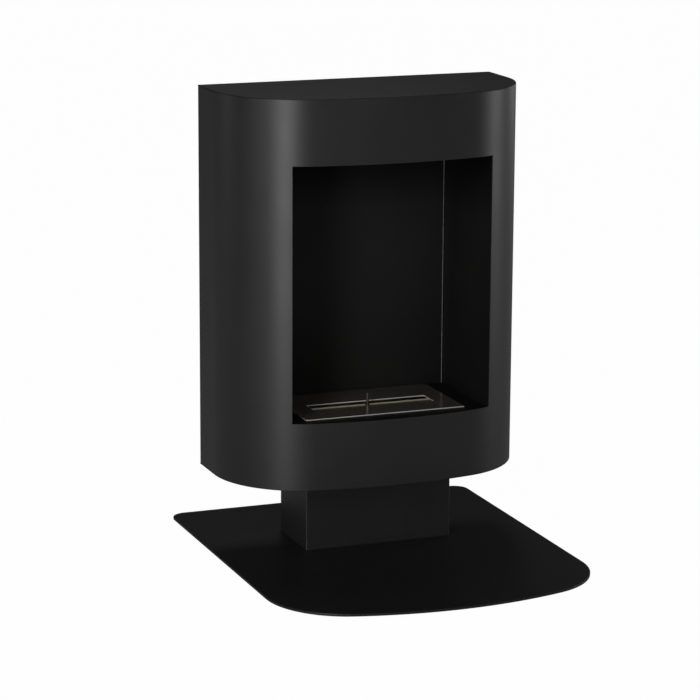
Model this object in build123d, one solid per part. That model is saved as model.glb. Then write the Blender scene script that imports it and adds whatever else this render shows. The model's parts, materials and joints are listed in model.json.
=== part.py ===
from build123d import *

import math
import os
from dataclasses import dataclass

# Free-standing bioethanol fireplace: a D-shaped sheet-steel body on a rectangular pedestal, bolted to
# a large D-shaped floor plate. The firebox is open at the front and holds a drop-in steel burner whose
# slot is closed by a sliding damper with an upright pin.
# Millimetres. X is to the right, -Y is the front, Z is up. The origin is on the floor, in the middle
# of the floor plate.

# ---- Floor plate
PLATE_WIDTH = 634.0
PLATE_DEPTH = 752.0
PLATE_THICKNESS = 5.0
PLATE_FRONT_RADIUS = 734.0
PLATE_SHOULDER_RADIUS = 156.0
PLATE_REAR_CORNER_RADIUS = 30.0
PLATE_EDGE_RADIUS = 0.8
PLATE_REAR_OVERHANG = 145.0  # how far the plate reaches behind the body's back

# ---- Pedestal
PEDESTAL_WIDTH = 297.0
PEDESTAL_DEPTH = 145.0
PEDESTAL_HEIGHT = 139.0
PEDESTAL_REAR_SETBACK = 39.0  # from the body's back to the pedestal's back
PEDESTAL_SHEET = 2.0
PEDESTAL_BEND_RADIUS = 2.5  # outside of the bend
PEDESTAL_RETURN = 20.0  # width of the shell's inward rear flanges
PEDESTAL_FLANGE_THICKNESS = 3.0  # foot and head flanges
REAR_COVER_THICKNESS = 1.5
REAR_COVER_MARGIN = 1.0  # gap round the cover's edge
REAR_COVER_SCREW_INSET = 15.0  # from the pedestal's top and bottom

# ---- Body
BODY_WIDTH = 600.0
BODY_DEPTH = 276.0
BODY_HEIGHT = 738.0
BODY_FRONT_RADIUS = 845.0
BODY_SHOULDER_RADIUS = 176.0
BODY_SHEET = 2.0
BODY_BEND_RADIUS = 2.5
BODY_EDGE_RADIUS = 1.0
BODY_RETURN = 22.0  # width of the shell's inward rear flanges
BACK_PANEL_THICKNESS = 1.5
BACK_PANEL_MARGIN = 1.0
BACK_PANEL_CORNER = 2.0
BACK_SCREW_ROWS = 4
BACK_SCREW_INSET = 26.0  # from the back panel's top and bottom

# ---- Front opening
OPENING_WIDTH = 400.0
OPENING_HEIGHT = 485.0
OPENING_SILL = 129.5  # from the body's underside
OPENING_CORNER = 1.5

# ---- Firebox
FIREBOX_SHEET = 1.5
FIREBOX_FLOOR_THICKNESS = 2.0
FIREBOX_LIP = 5.0  # how far the floor lies below the opening, and the ceiling above it
FIREBOX_FLANGE = 20.0
FIREBOX_REAR_GAP = 3.5  # from the side walls' rear edge to the back panel
SHELL_GAP = 0.3  # from the shell's curved inside to what follows it
HEAT_SHIELD_SETBACK = 21.0  # from the body's back to the shield's front face
HEAT_SHIELD_RETURN = 14.0
HEAT_SHIELD_GAP = 1.0  # from the shield's sides to the side walls
HEAT_SHIELD_END_GAP = 0.5  # from the shield to the floor and the ceiling
HEAT_SHIELD_BEND_RADIUS = 2.5
STANDOFF_RADIUS = 6.0
STANDOFF_SPAN = 300.0  # between the left and right standoffs
STANDOFF_RISE = 330.0  # between the lower and upper standoffs
STANDOFF_SCREW_DEPTH = 12.0
CARRIER_SHEET = 1.5
CARRIER_FLANGE = 16.0
CARRIER_INSET = 4.5  # from the side wall's inner face to the carrier's web
CARRIER_FRONT_MARGIN = 22.0  # from the shell's inside to the carrier's front end
FIREBOX_SCREW_ROWS = 3
FIREBOX_SCREW_INSET = 24.0  # from the carrier's front and rear ends

# ---- Burner
BURNER_WIDTH = 324.0
BURNER_DEPTH = 195.0
BURNER_PLATE_THICKNESS = 2.5
BURNER_CORNER = 2.0
BURNER_EDGE_RADIUS = 0.5
BURNER_SHIELD_GAP = 3.0  # from the burner plate to the heat shield
SLOT_CORNER = 2.0
SLOT_END_MARGIN = 40.0  # from the burner plate's left and right edges to the slot
SLOT_FRONT_MARGIN = 58.5
SLOT_REAR_MARGIN = 87.5
CONTAINER_RIM = 12.0  # how far the burner plate reaches past the fuel container
CONTAINER_HEIGHT = 52.0
CONTAINER_SHEET = 1.2
CONTAINER_CORNER = 4.0
CUTOUT_CLEARANCE = 1.0  # round the fuel container in the firebox floor
WOOL_HEIGHT = 30.0
WOOL_CLEARANCE = 0.3
WOOL_EDGE_RADIUS = 4.0

# ---- Damper
DAMPER_THICKNESS = 1.5
DAMPER_OVERLAP = 3.0  # past the slot's front and rear edges when it is shut
DAMPER_SIDE_OVERLAP = 9.0  # past each end of the slot
DAMPER_OPENING = 15.5  # the slot's open depth as it stands in the photograph
RUNNING_GAP = 0.3  # above, below and beside the damper
RAIL_SHEET = 1.2
RAIL_FLANGE = 10.0
RAIL_LEDGE = 5.0
RAIL_END_GAP = 1.8  # from the fuel container's front wall
RAIL_REAR_REACH = 6.0  # past the slot's rear edge
PIN_RADIUS = 2.5
PIN_STUB_RADIUS = 2.0
PIN_RISE = 21.5  # above the burner plate
PIN_OFFSET = -6.0  # from the slot's middle, along X
PIN_SETBACK = 10.0  # from the damper's rear edge
PIN_COLLAR_RADIUS = 4.5
PIN_COLLAR_HEIGHT = 1.8
PIN_STUB_LENGTH = 5.5
PIN_TIP_RADIUS = 0.8

# ---- Fasteners
THREAD_CLEARANCE = 0.05  # between a thread and its hole, on the radius
HOLE_CLEARANCE = 0.25  # round a shank in a plain hole, on the radius
M4_RADIUS = 2.0
M4_HEAD_RADIUS = 3.8
M4_HEAD_HEIGHT = 2.2
M4_LENGTH = 9.0
M4_NUT_FLATS = 7.0
M4_NUT_HEIGHT = 3.2
M5_RADIUS = 2.5
M5_HEAD_RADIUS = 4.75
M5_HEAD_HEIGHT = 2.7
M6_RADIUS = 3.0
M6_HEAD_RADIUS = 6.0
M6_HEAD_RECESS = 0.3  # how far the countersunk head lies inside the plate
M6_NUT_FLATS = 10.0
M6_NUT_HEIGHT = 5.0
M8_RADIUS = 4.0
M8_HEAD_FLATS = 13.0
M8_HEAD_HEIGHT = 5.3
M8_NUT_HEIGHT = 6.5
M8_WASHER_RADIUS = 8.0
M8_WASHER_THICKNESS = 1.6
THREAD_REACH = 1.5  # how far a screw stands past its nut
FOOT_SCREW_SPAN_X = 220.0
FOOT_SCREW_SPAN_Y = 90.0
HEAD_BOLT_SPAN_X = 180.0
HEAD_BOLT_SPAN_Y = 70.0

# ---- Levels and planes that follow from the sizes above
BODY_REAR_Y = PLATE_DEPTH / 2 - PLATE_REAR_OVERHANG
BODY_BASE_Z = PLATE_THICKNESS + PEDESTAL_HEIGHT
BODY_TOP_Z = BODY_BASE_Z + BODY_HEIGHT
SHELL_BASE_Z = BODY_BASE_Z + BODY_SHEET
SHELL_TOP_Z = BODY_TOP_Z - BODY_SHEET
SHELL_REAR_Y = BODY_REAR_Y - BACK_PANEL_THICKNESS
PEDESTAL_REAR_Y = BODY_REAR_Y - PEDESTAL_REAR_SETBACK
PEDESTAL_SHELL_REAR_Y = PEDESTAL_REAR_Y - REAR_COVER_THICKNESS
PEDESTAL_SHELL_DEPTH = PEDESTAL_DEPTH - REAR_COVER_THICKNESS
PEDESTAL_MIDDLE_Y = PEDESTAL_SHELL_REAR_Y - PEDESTAL_SHELL_DEPTH / 2
OPENING_BASE_Z = BODY_BASE_Z + OPENING_SILL
OPENING_TOP_Z = OPENING_BASE_Z + OPENING_HEIGHT
FLOOR_Z = OPENING_BASE_Z - FIREBOX_LIP
CEILING_Z = OPENING_TOP_Z + FIREBOX_LIP
FIREBOX_REAR_Y = SHELL_REAR_Y - FIREBOX_REAR_GAP
FIREBOX_HALF = OPENING_WIDTH / 2
FIREBOX_OUTER_HALF = FIREBOX_HALF + FIREBOX_FLANGE
SHIELD_Y = BODY_REAR_Y - HEAT_SHIELD_SETBACK
BURNER_REAR_Y = SHIELD_Y - BURNER_SHIELD_GAP
BURNER_MIDDLE_Y = BURNER_REAR_Y - BURNER_DEPTH / 2
BURNER_TOP_Z = FLOOR_Z + BURNER_PLATE_THICKNESS
SLOT_LENGTH = BURNER_WIDTH - 2 * SLOT_END_MARGIN
SLOT_DEPTH = BURNER_DEPTH - SLOT_FRONT_MARGIN - SLOT_REAR_MARGIN
SLOT_REAR_Y = BURNER_REAR_Y - SLOT_REAR_MARGIN
SLOT_MIDDLE_Y = SLOT_REAR_Y - SLOT_DEPTH / 2
CONTAINER_WIDTH = BURNER_WIDTH - 2 * CONTAINER_RIM
CONTAINER_DEPTH = BURNER_DEPTH - 2 * CONTAINER_RIM
CONTAINER_BASE_Z = FLOOR_Z - CONTAINER_HEIGHT
DAMPER_REAR_Y = SLOT_REAR_Y - DAMPER_OPENING
DAMPER_DEPTH = SLOT_DEPTH + 2 * DAMPER_OVERLAP
DAMPER_TOP_Z = FLOOR_Z - RUNNING_GAP
DAMPER_BASE_Z = DAMPER_TOP_Z - DAMPER_THICKNESS
DAMPER_HALF = SLOT_LENGTH / 2 + DAMPER_SIDE_OVERLAP
PIN_Y = DAMPER_REAR_Y - PIN_SETBACK
CARRIER_WEB_X = FIREBOX_HALF + CARRIER_INSET
CARRIER_REAR_Y = FIREBOX_REAR_Y
FIREBOX_SCREW_X = CARRIER_WEB_X + CARRIER_SHEET + CARRIER_FLANGE / 2

FAR = 1000.0  # longer than any piece, for cutting tools


@dataclass(frozen=True)
class DShape:
    """A plan outline with a flat rear, straight sides, round shoulders and a shallow convex front."""

    width: float
    depth: float
    front_radius: float
    shoulder_radius: float
    rear_y: float

    def face(self, inset=0.0):
        """The outline as a face at z = 0, every edge moved inwards by inset."""
        half = self.width / 2 - inset
        front_radius = self.front_radius - inset
        shoulder_radius = self.shoulder_radius - inset
        rear_y = self.rear_y - inset
        front_y = self.rear_y - self.depth + inset
        centre_y = front_y + front_radius
        shoulder_x = half - shoulder_radius
        reach = front_radius - shoulder_radius
        drop = math.sqrt(reach**2 - shoulder_x**2)
        shoulder_y = centre_y - drop
        tangent_x = shoulder_x * front_radius / reach
        tangent_y = centre_y - drop * front_radius / reach
        middle = (math.atan2(-drop, shoulder_x)) / 2
        middle_x = shoulder_x + shoulder_radius * math.cos(middle)
        middle_y = shoulder_y + shoulder_radius * math.sin(middle)
        edges = [
            Line((-half, rear_y), (half, rear_y)),
            Line((half, rear_y), (half, shoulder_y)),
            ThreePointArc((half, shoulder_y), (middle_x, middle_y), (tangent_x, tangent_y)),
            ThreePointArc((tangent_x, tangent_y), (0, front_y), (-tangent_x, tangent_y)),
            ThreePointArc((-tangent_x, tangent_y), (-middle_x, middle_y), (-half, shoulder_y)),
            Line((-half, shoulder_y), (-half, rear_y)),
        ]
        return make_face(edges)


PLATE = DShape(
    PLATE_WIDTH, PLATE_DEPTH, PLATE_FRONT_RADIUS, PLATE_SHOULDER_RADIUS, PLATE_DEPTH / 2
)
BODY = DShape(BODY_WIDTH, BODY_DEPTH, BODY_FRONT_RADIUS, BODY_SHOULDER_RADIUS, BODY_REAR_Y)
SHELL = DShape(
    BODY_WIDTH,
    BODY_DEPTH - BACK_PANEL_THICKNESS,
    BODY_FRONT_RADIUS,
    BODY_SHOULDER_RADIUS,
    SHELL_REAR_Y,
)


def slab(face, base_z, thickness):
    """The face as a plate that starts at base_z."""
    return Pos(0, 0, base_z) * extrude(face, amount=thickness)


def block(x0, x1, y0, y1, z0, z1):
    """A box between two corners."""
    centre = Pos((x0 + x1) / 2, (y0 + y1) / 2, (z0 + z1) / 2)
    return centre * Box(abs(x1 - x0), abs(y1 - y0), abs(z1 - z0))


def rectangle(x0, x1, y0, y1):
    """A flat rectangle between two corners, at z = 0."""
    return Pos((x0 + x1) / 2, (y0 + y1) / 2) * Rectangle(abs(x1 - x0), abs(y1 - y0))


def mirrored(part):
    """The part on the other side of the middle plane."""
    return mirror(part, about=Plane.YZ)


def rounded_rim(part, level, radius):
    """Rounds the edges that lie at one level."""
    rim = part.edges().filter_by_position(Axis.Z, level - 1e-4, level + 1e-4)
    return fillet(rim, radius)


def drill(part, points, radius, z0, z1):
    """Cuts upright round holes."""
    holes = [Pos(x, y, (z0 + z1) / 2) * Cylinder(radius, z1 - z0) for x, y in points]
    return part - holes


def drill_through_rear(part, points, radius, y0, y1):
    """Cuts round holes that run along Y at (x, z) points."""
    turn = Rot(X=90)
    holes = [Pos(x, (y0 + y1) / 2, z) * turn * Cylinder(radius, y1 - y0) for x, z in points]
    return part - holes


def corners(span_x, span_y, middle_y):
    """The four points of a rectangle centred on x = 0."""
    signs = [(-1, -1), (1, -1), (1, 1), (-1, 1)]
    return [(sx * span_x / 2, middle_y + sy * span_y / 2) for sx, sy in signs]


def spread(start, end, count):
    """Evenly spaced values from start to end."""
    return [start + (end - start) * index / (count - 1) for index in range(count)]


def group(solids):
    """Several separate solids as one compound."""
    return Compound(children=[solid for part in solids for solid in part.solids()])


# ---- Fastener shapes, each upright with its head's seat at z = 0 and its shank below


def button_screw(radius, head_radius, head_height, length):
    """A round-headed screw with a hexagon socket."""
    head = Pos(0, 0, head_height / 2) * Cylinder(head_radius, head_height)
    head = rounded_rim(head, head_height, head_height * 0.55)
    socket_depth = head_height * 0.6
    socket = RegularPolygon(radius * 0.62, 6)
    head -= slab(socket, head_height - socket_depth, socket_depth)
    shank = Pos(0, 0, -length / 2) * Cylinder(radius, length)
    return head + shank


def countersunk_screw(radius, head_radius, length):
    """A countersunk screw whose flat top is at z = 0, with a hexagon socket."""
    cone_height = head_radius - radius
    cone = Pos(0, 0, -cone_height / 2) * Cone(radius, head_radius, cone_height)
    shank = Pos(0, 0, -(length + cone_height) / 2) * Cylinder(radius, length - cone_height)
    socket_depth = cone_height * 0.7
    return cone + shank - slab(RegularPolygon(radius * 0.65, 6), -socket_depth, socket_depth)


def hexagon_bolt(radius, flats, head_height, length):
    """A hexagon-headed bolt."""
    head = slab(RegularPolygon(flats / 2, 6, major_radius=False), 0, head_height)
    shank = Pos(0, 0, -length / 2) * Cylinder(radius, length)
    return head + shank


def hexagon_nut(radius, flats, height):
    """A hexagon nut that stands on z = 0."""
    body = slab(RegularPolygon(flats / 2, 6, major_radius=False), 0, height)
    bore = Pos(0, 0, height / 2) * Cylinder(radius + THREAD_CLEARANCE, height)
    return body - bore


def washer(radius, outer_radius, thickness):
    """A plain washer that lies on z = 0."""
    ring = Circle(outer_radius) - Circle(radius + HOLE_CLEARANCE)
    return extrude(ring, amount=thickness)


def rear_screws(screw, points, seat_y):
    """Copies of a screw that are driven forwards into a rear face at (x, z) points."""
    turn = Rot(X=-90)
    return group([Pos(x, seat_y, z) * turn * screw for x, z in points])


# ---- Where the fasteners go

FOOT_SCREWS = corners(FOOT_SCREW_SPAN_X, FOOT_SCREW_SPAN_Y, PEDESTAL_MIDDLE_Y)
HEAD_BOLTS = corners(HEAD_BOLT_SPAN_X, HEAD_BOLT_SPAN_Y, PEDESTAL_MIDDLE_Y)
REAR_COVER_SCREWS = [
    (side * (PEDESTAL_WIDTH - PEDESTAL_RETURN) / 2, z)
    for side in (-1, 1)
    for z in (PLATE_THICKNESS + REAR_COVER_SCREW_INSET, BODY_BASE_Z - REAR_COVER_SCREW_INSET)
]
BACK_SCREWS = [
    (side * (BODY_WIDTH - BODY_RETURN) / 2, z)
    for side in (-1, 1)
    for z in spread(
        SHELL_BASE_Z + BACK_SCREW_INSET, SHELL_TOP_Z - BACK_SCREW_INSET, BACK_SCREW_ROWS
    )
]
STANDOFFS = [
    (x, z)
    for x, z in corners(STANDOFF_SPAN, STANDOFF_RISE, (FLOOR_Z + CEILING_Z) / 2)
]


def shell_inside_y(x):
    """Where the shell's curved inside is at x, past the tangent point of the shoulder."""
    inner_radius = BODY_SHOULDER_RADIUS - BODY_SHEET
    shoulder_x = BODY_WIDTH / 2 - BODY_SHOULDER_RADIUS
    reach = BODY_FRONT_RADIUS - BODY_SHOULDER_RADIUS
    centre_y = SHELL_REAR_Y - SHELL.depth + BODY_FRONT_RADIUS
    shoulder_y = centre_y - math.sqrt(reach**2 - shoulder_x**2)
    return shoulder_y - math.sqrt(inner_radius**2 - (x - shoulder_x) ** 2)


CARRIER_FRONT_Y = (
    shell_inside_y(CARRIER_WEB_X + CARRIER_SHEET + CARRIER_FLANGE) + CARRIER_FRONT_MARGIN
)
FIREBOX_SCREWS = [
    (side * FIREBOX_SCREW_X, y)
    for side in (-1, 1)
    for y in spread(
        CARRIER_FRONT_Y + FIREBOX_SCREW_INSET,
        CARRIER_REAR_Y - FIREBOX_SCREW_INSET,
        FIREBOX_SCREW_ROWS,
    )
]


# ---- Stand


def floor_plate():
    """The large plate that lies on the floor, drilled and countersunk from below."""
    outline = PLATE.face()
    rear_corners = outline.vertices().group_by(Axis.Y)[-1]
    part = extrude(fillet(rear_corners, PLATE_REAR_CORNER_RADIUS), amount=PLATE_THICKNESS)
    part = rounded_rim(part, PLATE_THICKNESS, PLATE_EDGE_RADIUS)
    part = rounded_rim(part, 0, PLATE_EDGE_RADIUS)
    part = drill(part, FOOT_SCREWS, M6_RADIUS + HOLE_CLEARANCE, 0, PLATE_THICKNESS)
    mouth_radius = M6_HEAD_RADIUS + M6_HEAD_RECESS + HOLE_CLEARANCE
    sink = Cone(mouth_radius, M6_RADIUS, mouth_radius - M6_RADIUS)
    return part - [Pos(x, y, (mouth_radius - M6_RADIUS) / 2) * sink for x, y in FOOT_SCREWS]


def foot_screws():
    """The countersunk screws that hold the pedestal's foot from under the plate."""
    stack = PLATE_THICKNESS + PEDESTAL_FLANGE_THICKNESS + M6_NUT_HEIGHT + THREAD_REACH
    screw = Rot(X=180) * countersunk_screw(M6_RADIUS, M6_HEAD_RADIUS, stack - M6_HEAD_RECESS)
    return group([Pos(x, y, M6_HEAD_RECESS) * screw for x, y in FOOT_SCREWS])


def pedestal_outline(inset):
    """The pedestal's rectangular section, with its bends, moved inwards by inset."""
    width = PEDESTAL_WIDTH - 2 * inset
    depth = PEDESTAL_SHELL_DEPTH - 2 * inset
    section = RectangleRounded(width, depth, PEDESTAL_BEND_RADIUS - inset)
    return Pos(0, PEDESTAL_MIDDLE_Y) * section


def pedestal_flange(base_z, holes, radius):
    """A flat flange that fills the pedestal's inside, with round holes."""
    plate = slab(pedestal_outline(PEDESTAL_SHEET), base_z, PEDESTAL_FLANGE_THICKNESS)
    return drill(plate, holes, radius, base_z, base_z + PEDESTAL_FLANGE_THICKNESS)


def pedestal_foot():
    """The flange at the pedestal's foot, flat on the floor plate."""
    return pedestal_flange(PLATE_THICKNESS, FOOT_SCREWS, M6_RADIUS + HOLE_CLEARANCE)


def foot_nuts():
    """The nuts welded to the foot flange."""
    nut = hexagon_nut(M6_RADIUS, M6_NUT_FLATS, M6_NUT_HEIGHT)
    base_z = PLATE_THICKNESS + PEDESTAL_FLANGE_THICKNESS
    return group([Pos(x, y, base_z) * nut for x, y in FOOT_SCREWS])


def pedestal_shell():
    """The folded front and sides of the pedestal, with inward flanges at the rear."""
    ring = pedestal_outline(0) - pedestal_outline(PEDESTAL_SHEET)
    half_gap = PEDESTAL_WIDTH / 2 - PEDESTAL_RETURN
    gap = rectangle(-half_gap, half_gap, PEDESTAL_MIDDLE_Y, PEDESTAL_REAR_Y)
    part = slab(ring - gap, PLATE_THICKNESS, PEDESTAL_HEIGHT)
    return drill_through_rear(
        part,
        REAR_COVER_SCREWS,
        M4_RADIUS + THREAD_CLEARANCE,
        PEDESTAL_SHELL_REAR_Y - PEDESTAL_SHEET,
        PEDESTAL_SHELL_REAR_Y,
    )


def pedestal_head():
    """The flange at the pedestal's top, under the body."""
    base_z = BODY_BASE_Z - PEDESTAL_FLANGE_THICKNESS
    return pedestal_flange(base_z, HEAD_BOLTS, M8_RADIUS + HOLE_CLEARANCE)


def pedestal_rear_cover():
    """The plate that closes the pedestal's rear."""
    half = PEDESTAL_WIDTH / 2 - REAR_COVER_MARGIN
    part = block(
        -half,
        half,
        PEDESTAL_SHELL_REAR_Y,
        PEDESTAL_REAR_Y,
        PLATE_THICKNESS + REAR_COVER_MARGIN,
        BODY_BASE_Z - REAR_COVER_MARGIN,
    )
    return drill_through_rear(
        part,
        REAR_COVER_SCREWS,
        M4_RADIUS + HOLE_CLEARANCE,
        PEDESTAL_SHELL_REAR_Y,
        PEDESTAL_REAR_Y,
    )


def m4_screw():
    """The small screw used on the covers and in the firebox."""
    return button_screw(M4_RADIUS, M4_HEAD_RADIUS, M4_HEAD_HEIGHT, M4_LENGTH)


def rear_cover_screws():
    """The screws of the pedestal's rear cover."""
    return rear_screws(m4_screw(), REAR_COVER_SCREWS, PEDESTAL_REAR_Y)


def head_bolts():
    """The bolts that hold the body on the pedestal, driven upwards."""
    seat_z = BODY_BASE_Z - PEDESTAL_FLANGE_THICKNESS - M8_WASHER_THICKNESS
    grip = M8_WASHER_THICKNESS + PEDESTAL_FLANGE_THICKNESS + BODY_SHEET
    length = grip + M8_NUT_HEIGHT + THREAD_REACH
    bolt = Rot(X=180) * hexagon_bolt(M8_RADIUS, M8_HEAD_FLATS, M8_HEAD_HEIGHT, length)
    return group([Pos(x, y, seat_z) * bolt for x, y in HEAD_BOLTS])


def head_washers():
    """The washers under the head flange."""
    ring = washer(M8_RADIUS, M8_WASHER_RADIUS, M8_WASHER_THICKNESS)
    base_z = BODY_BASE_Z - PEDESTAL_FLANGE_THICKNESS - M8_WASHER_THICKNESS
    return group([Pos(x, y, base_z) * ring for x, y in HEAD_BOLTS])


def head_nuts():
    """The nuts welded to the body's bottom."""
    nut = hexagon_nut(M8_RADIUS, M8_HEAD_FLATS, M8_NUT_HEIGHT)
    return group([Pos(x, y, SHELL_BASE_Z) * nut for x, y in HEAD_BOLTS])


# ---- Body


def body_bottom():
    """The body's bottom plate."""
    part = slab(BODY.face(), BODY_BASE_Z, BODY_SHEET)
    part = rounded_rim(part, BODY_BASE_Z, BODY_EDGE_RADIUS)
    return drill(part, HEAD_BOLTS, M8_RADIUS + HOLE_CLEARANCE, BODY_BASE_Z, SHELL_BASE_Z)


def body_top():
    """The body's top plate, its upper rim ground round."""
    part = slab(BODY.face(), SHELL_TOP_Z, BODY_SHEET)
    return rounded_rim(part, BODY_TOP_Z, BODY_EDGE_RADIUS)


def shell_section():
    """The wrapped sheet in plan, with its rear bends and inward flanges."""
    outer = SHELL.face()
    outer = fillet(outer.vertices().group_by(Axis.Y)[-1], BODY_BEND_RADIUS)
    inner = SHELL.face(BODY_SHEET)
    inner = fillet(inner.vertices().group_by(Axis.Y)[-1], BODY_BEND_RADIUS - BODY_SHEET)
    half_gap = BODY_WIDTH / 2 - BODY_RETURN
    gap = rectangle(-half_gap, half_gap, SHELL_REAR_Y - 2 * BODY_SHEET, BODY_REAR_Y)
    return outer - inner - gap


def body_shell():
    """The wrapped outer sheet with the opening cut in its front."""
    part = slab(shell_section(), SHELL_BASE_Z, SHELL_TOP_Z - SHELL_BASE_Z)
    window = RectangleRounded(OPENING_WIDTH, OPENING_HEIGHT, OPENING_CORNER)
    window_plane = Plane(
        origin=(0, BODY_REAR_Y - BODY_DEPTH / 2, (OPENING_BASE_Z + OPENING_TOP_Z) / 2),
        x_dir=(1, 0, 0),
        z_dir=(0, -1, 0),
    )
    part -= extrude(window_plane * window, amount=BODY_DEPTH)
    return drill_through_rear(
        part,
        BACK_SCREWS,
        M4_RADIUS + THREAD_CLEARANCE,
        SHELL_REAR_Y - BODY_SHEET,
        SHELL_REAR_Y,
    )


def back_panel():
    """The flat rear panel, screwed to the shell's flanges."""
    width = BODY_WIDTH - 2 * BACK_PANEL_MARGIN
    height = SHELL_TOP_Z - SHELL_BASE_Z - 2 * BACK_PANEL_MARGIN
    plane = Plane(
        origin=(0, BODY_REAR_Y, (SHELL_BASE_Z + SHELL_TOP_Z) / 2),
        x_dir=(1, 0, 0),
        z_dir=(0, -1, 0),
    )
    outline = RectangleRounded(width, height, BACK_PANEL_CORNER)
    part = extrude(plane * outline, amount=BACK_PANEL_THICKNESS)
    part = drill_through_rear(
        part, BACK_SCREWS, M4_RADIUS + HOLE_CLEARANCE, SHELL_REAR_Y, BODY_REAR_Y
    )
    return drill_through_rear(
        part, STANDOFFS, M5_RADIUS + HOLE_CLEARANCE, SHELL_REAR_Y, BODY_REAR_Y
    )


def back_panel_screws():
    """The screws along the back panel's sides."""
    return rear_screws(m4_screw(), BACK_SCREWS, BODY_REAR_Y)


# ---- Firebox


def inside_shell(face):
    """The part of a plan face that lies inside the shell, clear of its curve."""
    return face & SHELL.face(BODY_SHEET + SHELL_GAP)


def floor_carrier():
    """The right-hand channel that carries the firebox floor on the body's bottom."""
    web_x = CARRIER_WEB_X
    flange_x = web_x + CARRIER_SHEET + CARRIER_FLANGE
    top_z = FLOOR_Z - FIREBOX_FLOOR_THICKNESS
    y0, y1 = CARRIER_FRONT_Y, CARRIER_REAR_Y
    web = block(web_x, web_x + CARRIER_SHEET, y0, y1, SHELL_BASE_Z, top_z)
    lower = block(web_x, flange_x, y0, y1, SHELL_BASE_Z, SHELL_BASE_Z + CARRIER_SHEET)
    upper = block(web_x, flange_x, y0, y1, top_z - CARRIER_SHEET, top_z)
    right_hand = [(x, y) for x, y in FIREBOX_SCREWS if x > 0]
    part = web + lower + upper
    return drill(part, right_hand, M4_RADIUS + HOLE_CLEARANCE, top_z - CARRIER_SHEET, top_z)


def firebox_floor():
    """The firebox floor with the cut-out that the burner hangs in."""
    outline = rectangle(-FIREBOX_OUTER_HALF, FIREBOX_OUTER_HALF, -FAR, FIREBOX_REAR_Y)
    width = CONTAINER_WIDTH + 2 * CUTOUT_CLEARANCE
    depth = CONTAINER_DEPTH + 2 * CUTOUT_CLEARANCE
    cutout = RectangleRounded(width, depth, CONTAINER_CORNER + CUTOUT_CLEARANCE)
    face = inside_shell(outline) - Pos(0, BURNER_MIDDLE_Y) * cutout
    base_z = FLOOR_Z - FIREBOX_FLOOR_THICKNESS
    part = slab(face, base_z, FIREBOX_FLOOR_THICKNESS)
    return drill(part, FIREBOX_SCREWS, M4_RADIUS + HOLE_CLEARANCE, base_z, FLOOR_Z)


def firebox_side():
    """The right-hand side wall: a front flange along the shell, and flanges for floor and ceiling."""
    outer_x = FIREBOX_OUTER_HALF
    height = CEILING_Z - FLOOR_Z
    wall = rectangle(FIREBOX_HALF, FIREBOX_HALF + FIREBOX_SHEET, -FAR, FIREBOX_REAR_Y)
    strip = SHELL.face(BODY_SHEET + SHELL_GAP)
    strip -= SHELL.face(BODY_SHEET + SHELL_GAP + FIREBOX_SHEET)
    front_flange = strip & rectangle(FIREBOX_HALF, outer_x, -FAR, SHELL_REAR_Y - BODY_DEPTH / 2)
    upright = slab(inside_shell(wall) + front_flange, FLOOR_Z, height)
    footing = inside_shell(rectangle(FIREBOX_HALF, outer_x, -FAR, FIREBOX_REAR_Y))
    lower = slab(footing, FLOOR_Z, FIREBOX_SHEET)
    upper = slab(footing, CEILING_Z - FIREBOX_SHEET, FIREBOX_SHEET)
    right_hand = [(x, y) for x, y in FIREBOX_SCREWS if x > 0]
    part = upright + lower + upper
    part = drill(
        part, right_hand, M4_RADIUS + HOLE_CLEARANCE, FLOOR_Z, FLOOR_Z + FIREBOX_SHEET
    )
    return drill(
        part, right_hand, M4_RADIUS + HOLE_CLEARANCE, CEILING_Z - FIREBOX_SHEET, CEILING_Z
    )


def firebox_ceiling():
    """The sheet that closes the firebox at the top, on the side walls' flanges."""
    outline = rectangle(-FIREBOX_OUTER_HALF, FIREBOX_OUTER_HALF, -FAR, FIREBOX_REAR_Y)
    part = slab(inside_shell(outline), CEILING_Z, FIREBOX_SHEET)
    top_z = CEILING_Z + FIREBOX_SHEET
    return drill(part, FIREBOX_SCREWS, M4_RADIUS + HOLE_CLEARANCE, CEILING_Z, top_z)


def floor_screws():
    """The screws through the side walls' lower flanges, the floor and the carriers."""
    seat_z = FLOOR_Z + FIREBOX_SHEET
    return group([Pos(x, y, seat_z) * m4_screw() for x, y in FIREBOX_SCREWS])


def floor_nuts():
    """The nuts under the carriers' upper flanges."""
    nut = hexagon_nut(M4_RADIUS, M4_NUT_FLATS, M4_NUT_HEIGHT)
    base_z = FLOOR_Z - FIREBOX_FLOOR_THICKNESS - CARRIER_SHEET - M4_NUT_HEIGHT
    return group([Pos(x, y, base_z) * nut for x, y in FIREBOX_SCREWS])


def ceiling_screws():
    """The screws through the ceiling and the side walls' upper flanges."""
    seat_z = CEILING_Z + FIREBOX_SHEET
    return group([Pos(x, y, seat_z) * m4_screw() for x, y in FIREBOX_SCREWS])


def ceiling_nuts():
    """The nuts under the side walls' upper flanges."""
    nut = hexagon_nut(M4_RADIUS, M4_NUT_FLATS, M4_NUT_HEIGHT)
    base_z = CEILING_Z - FIREBOX_SHEET - M4_NUT_HEIGHT
    return group([Pos(x, y, base_z) * nut for x, y in FIREBOX_SCREWS])


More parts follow.
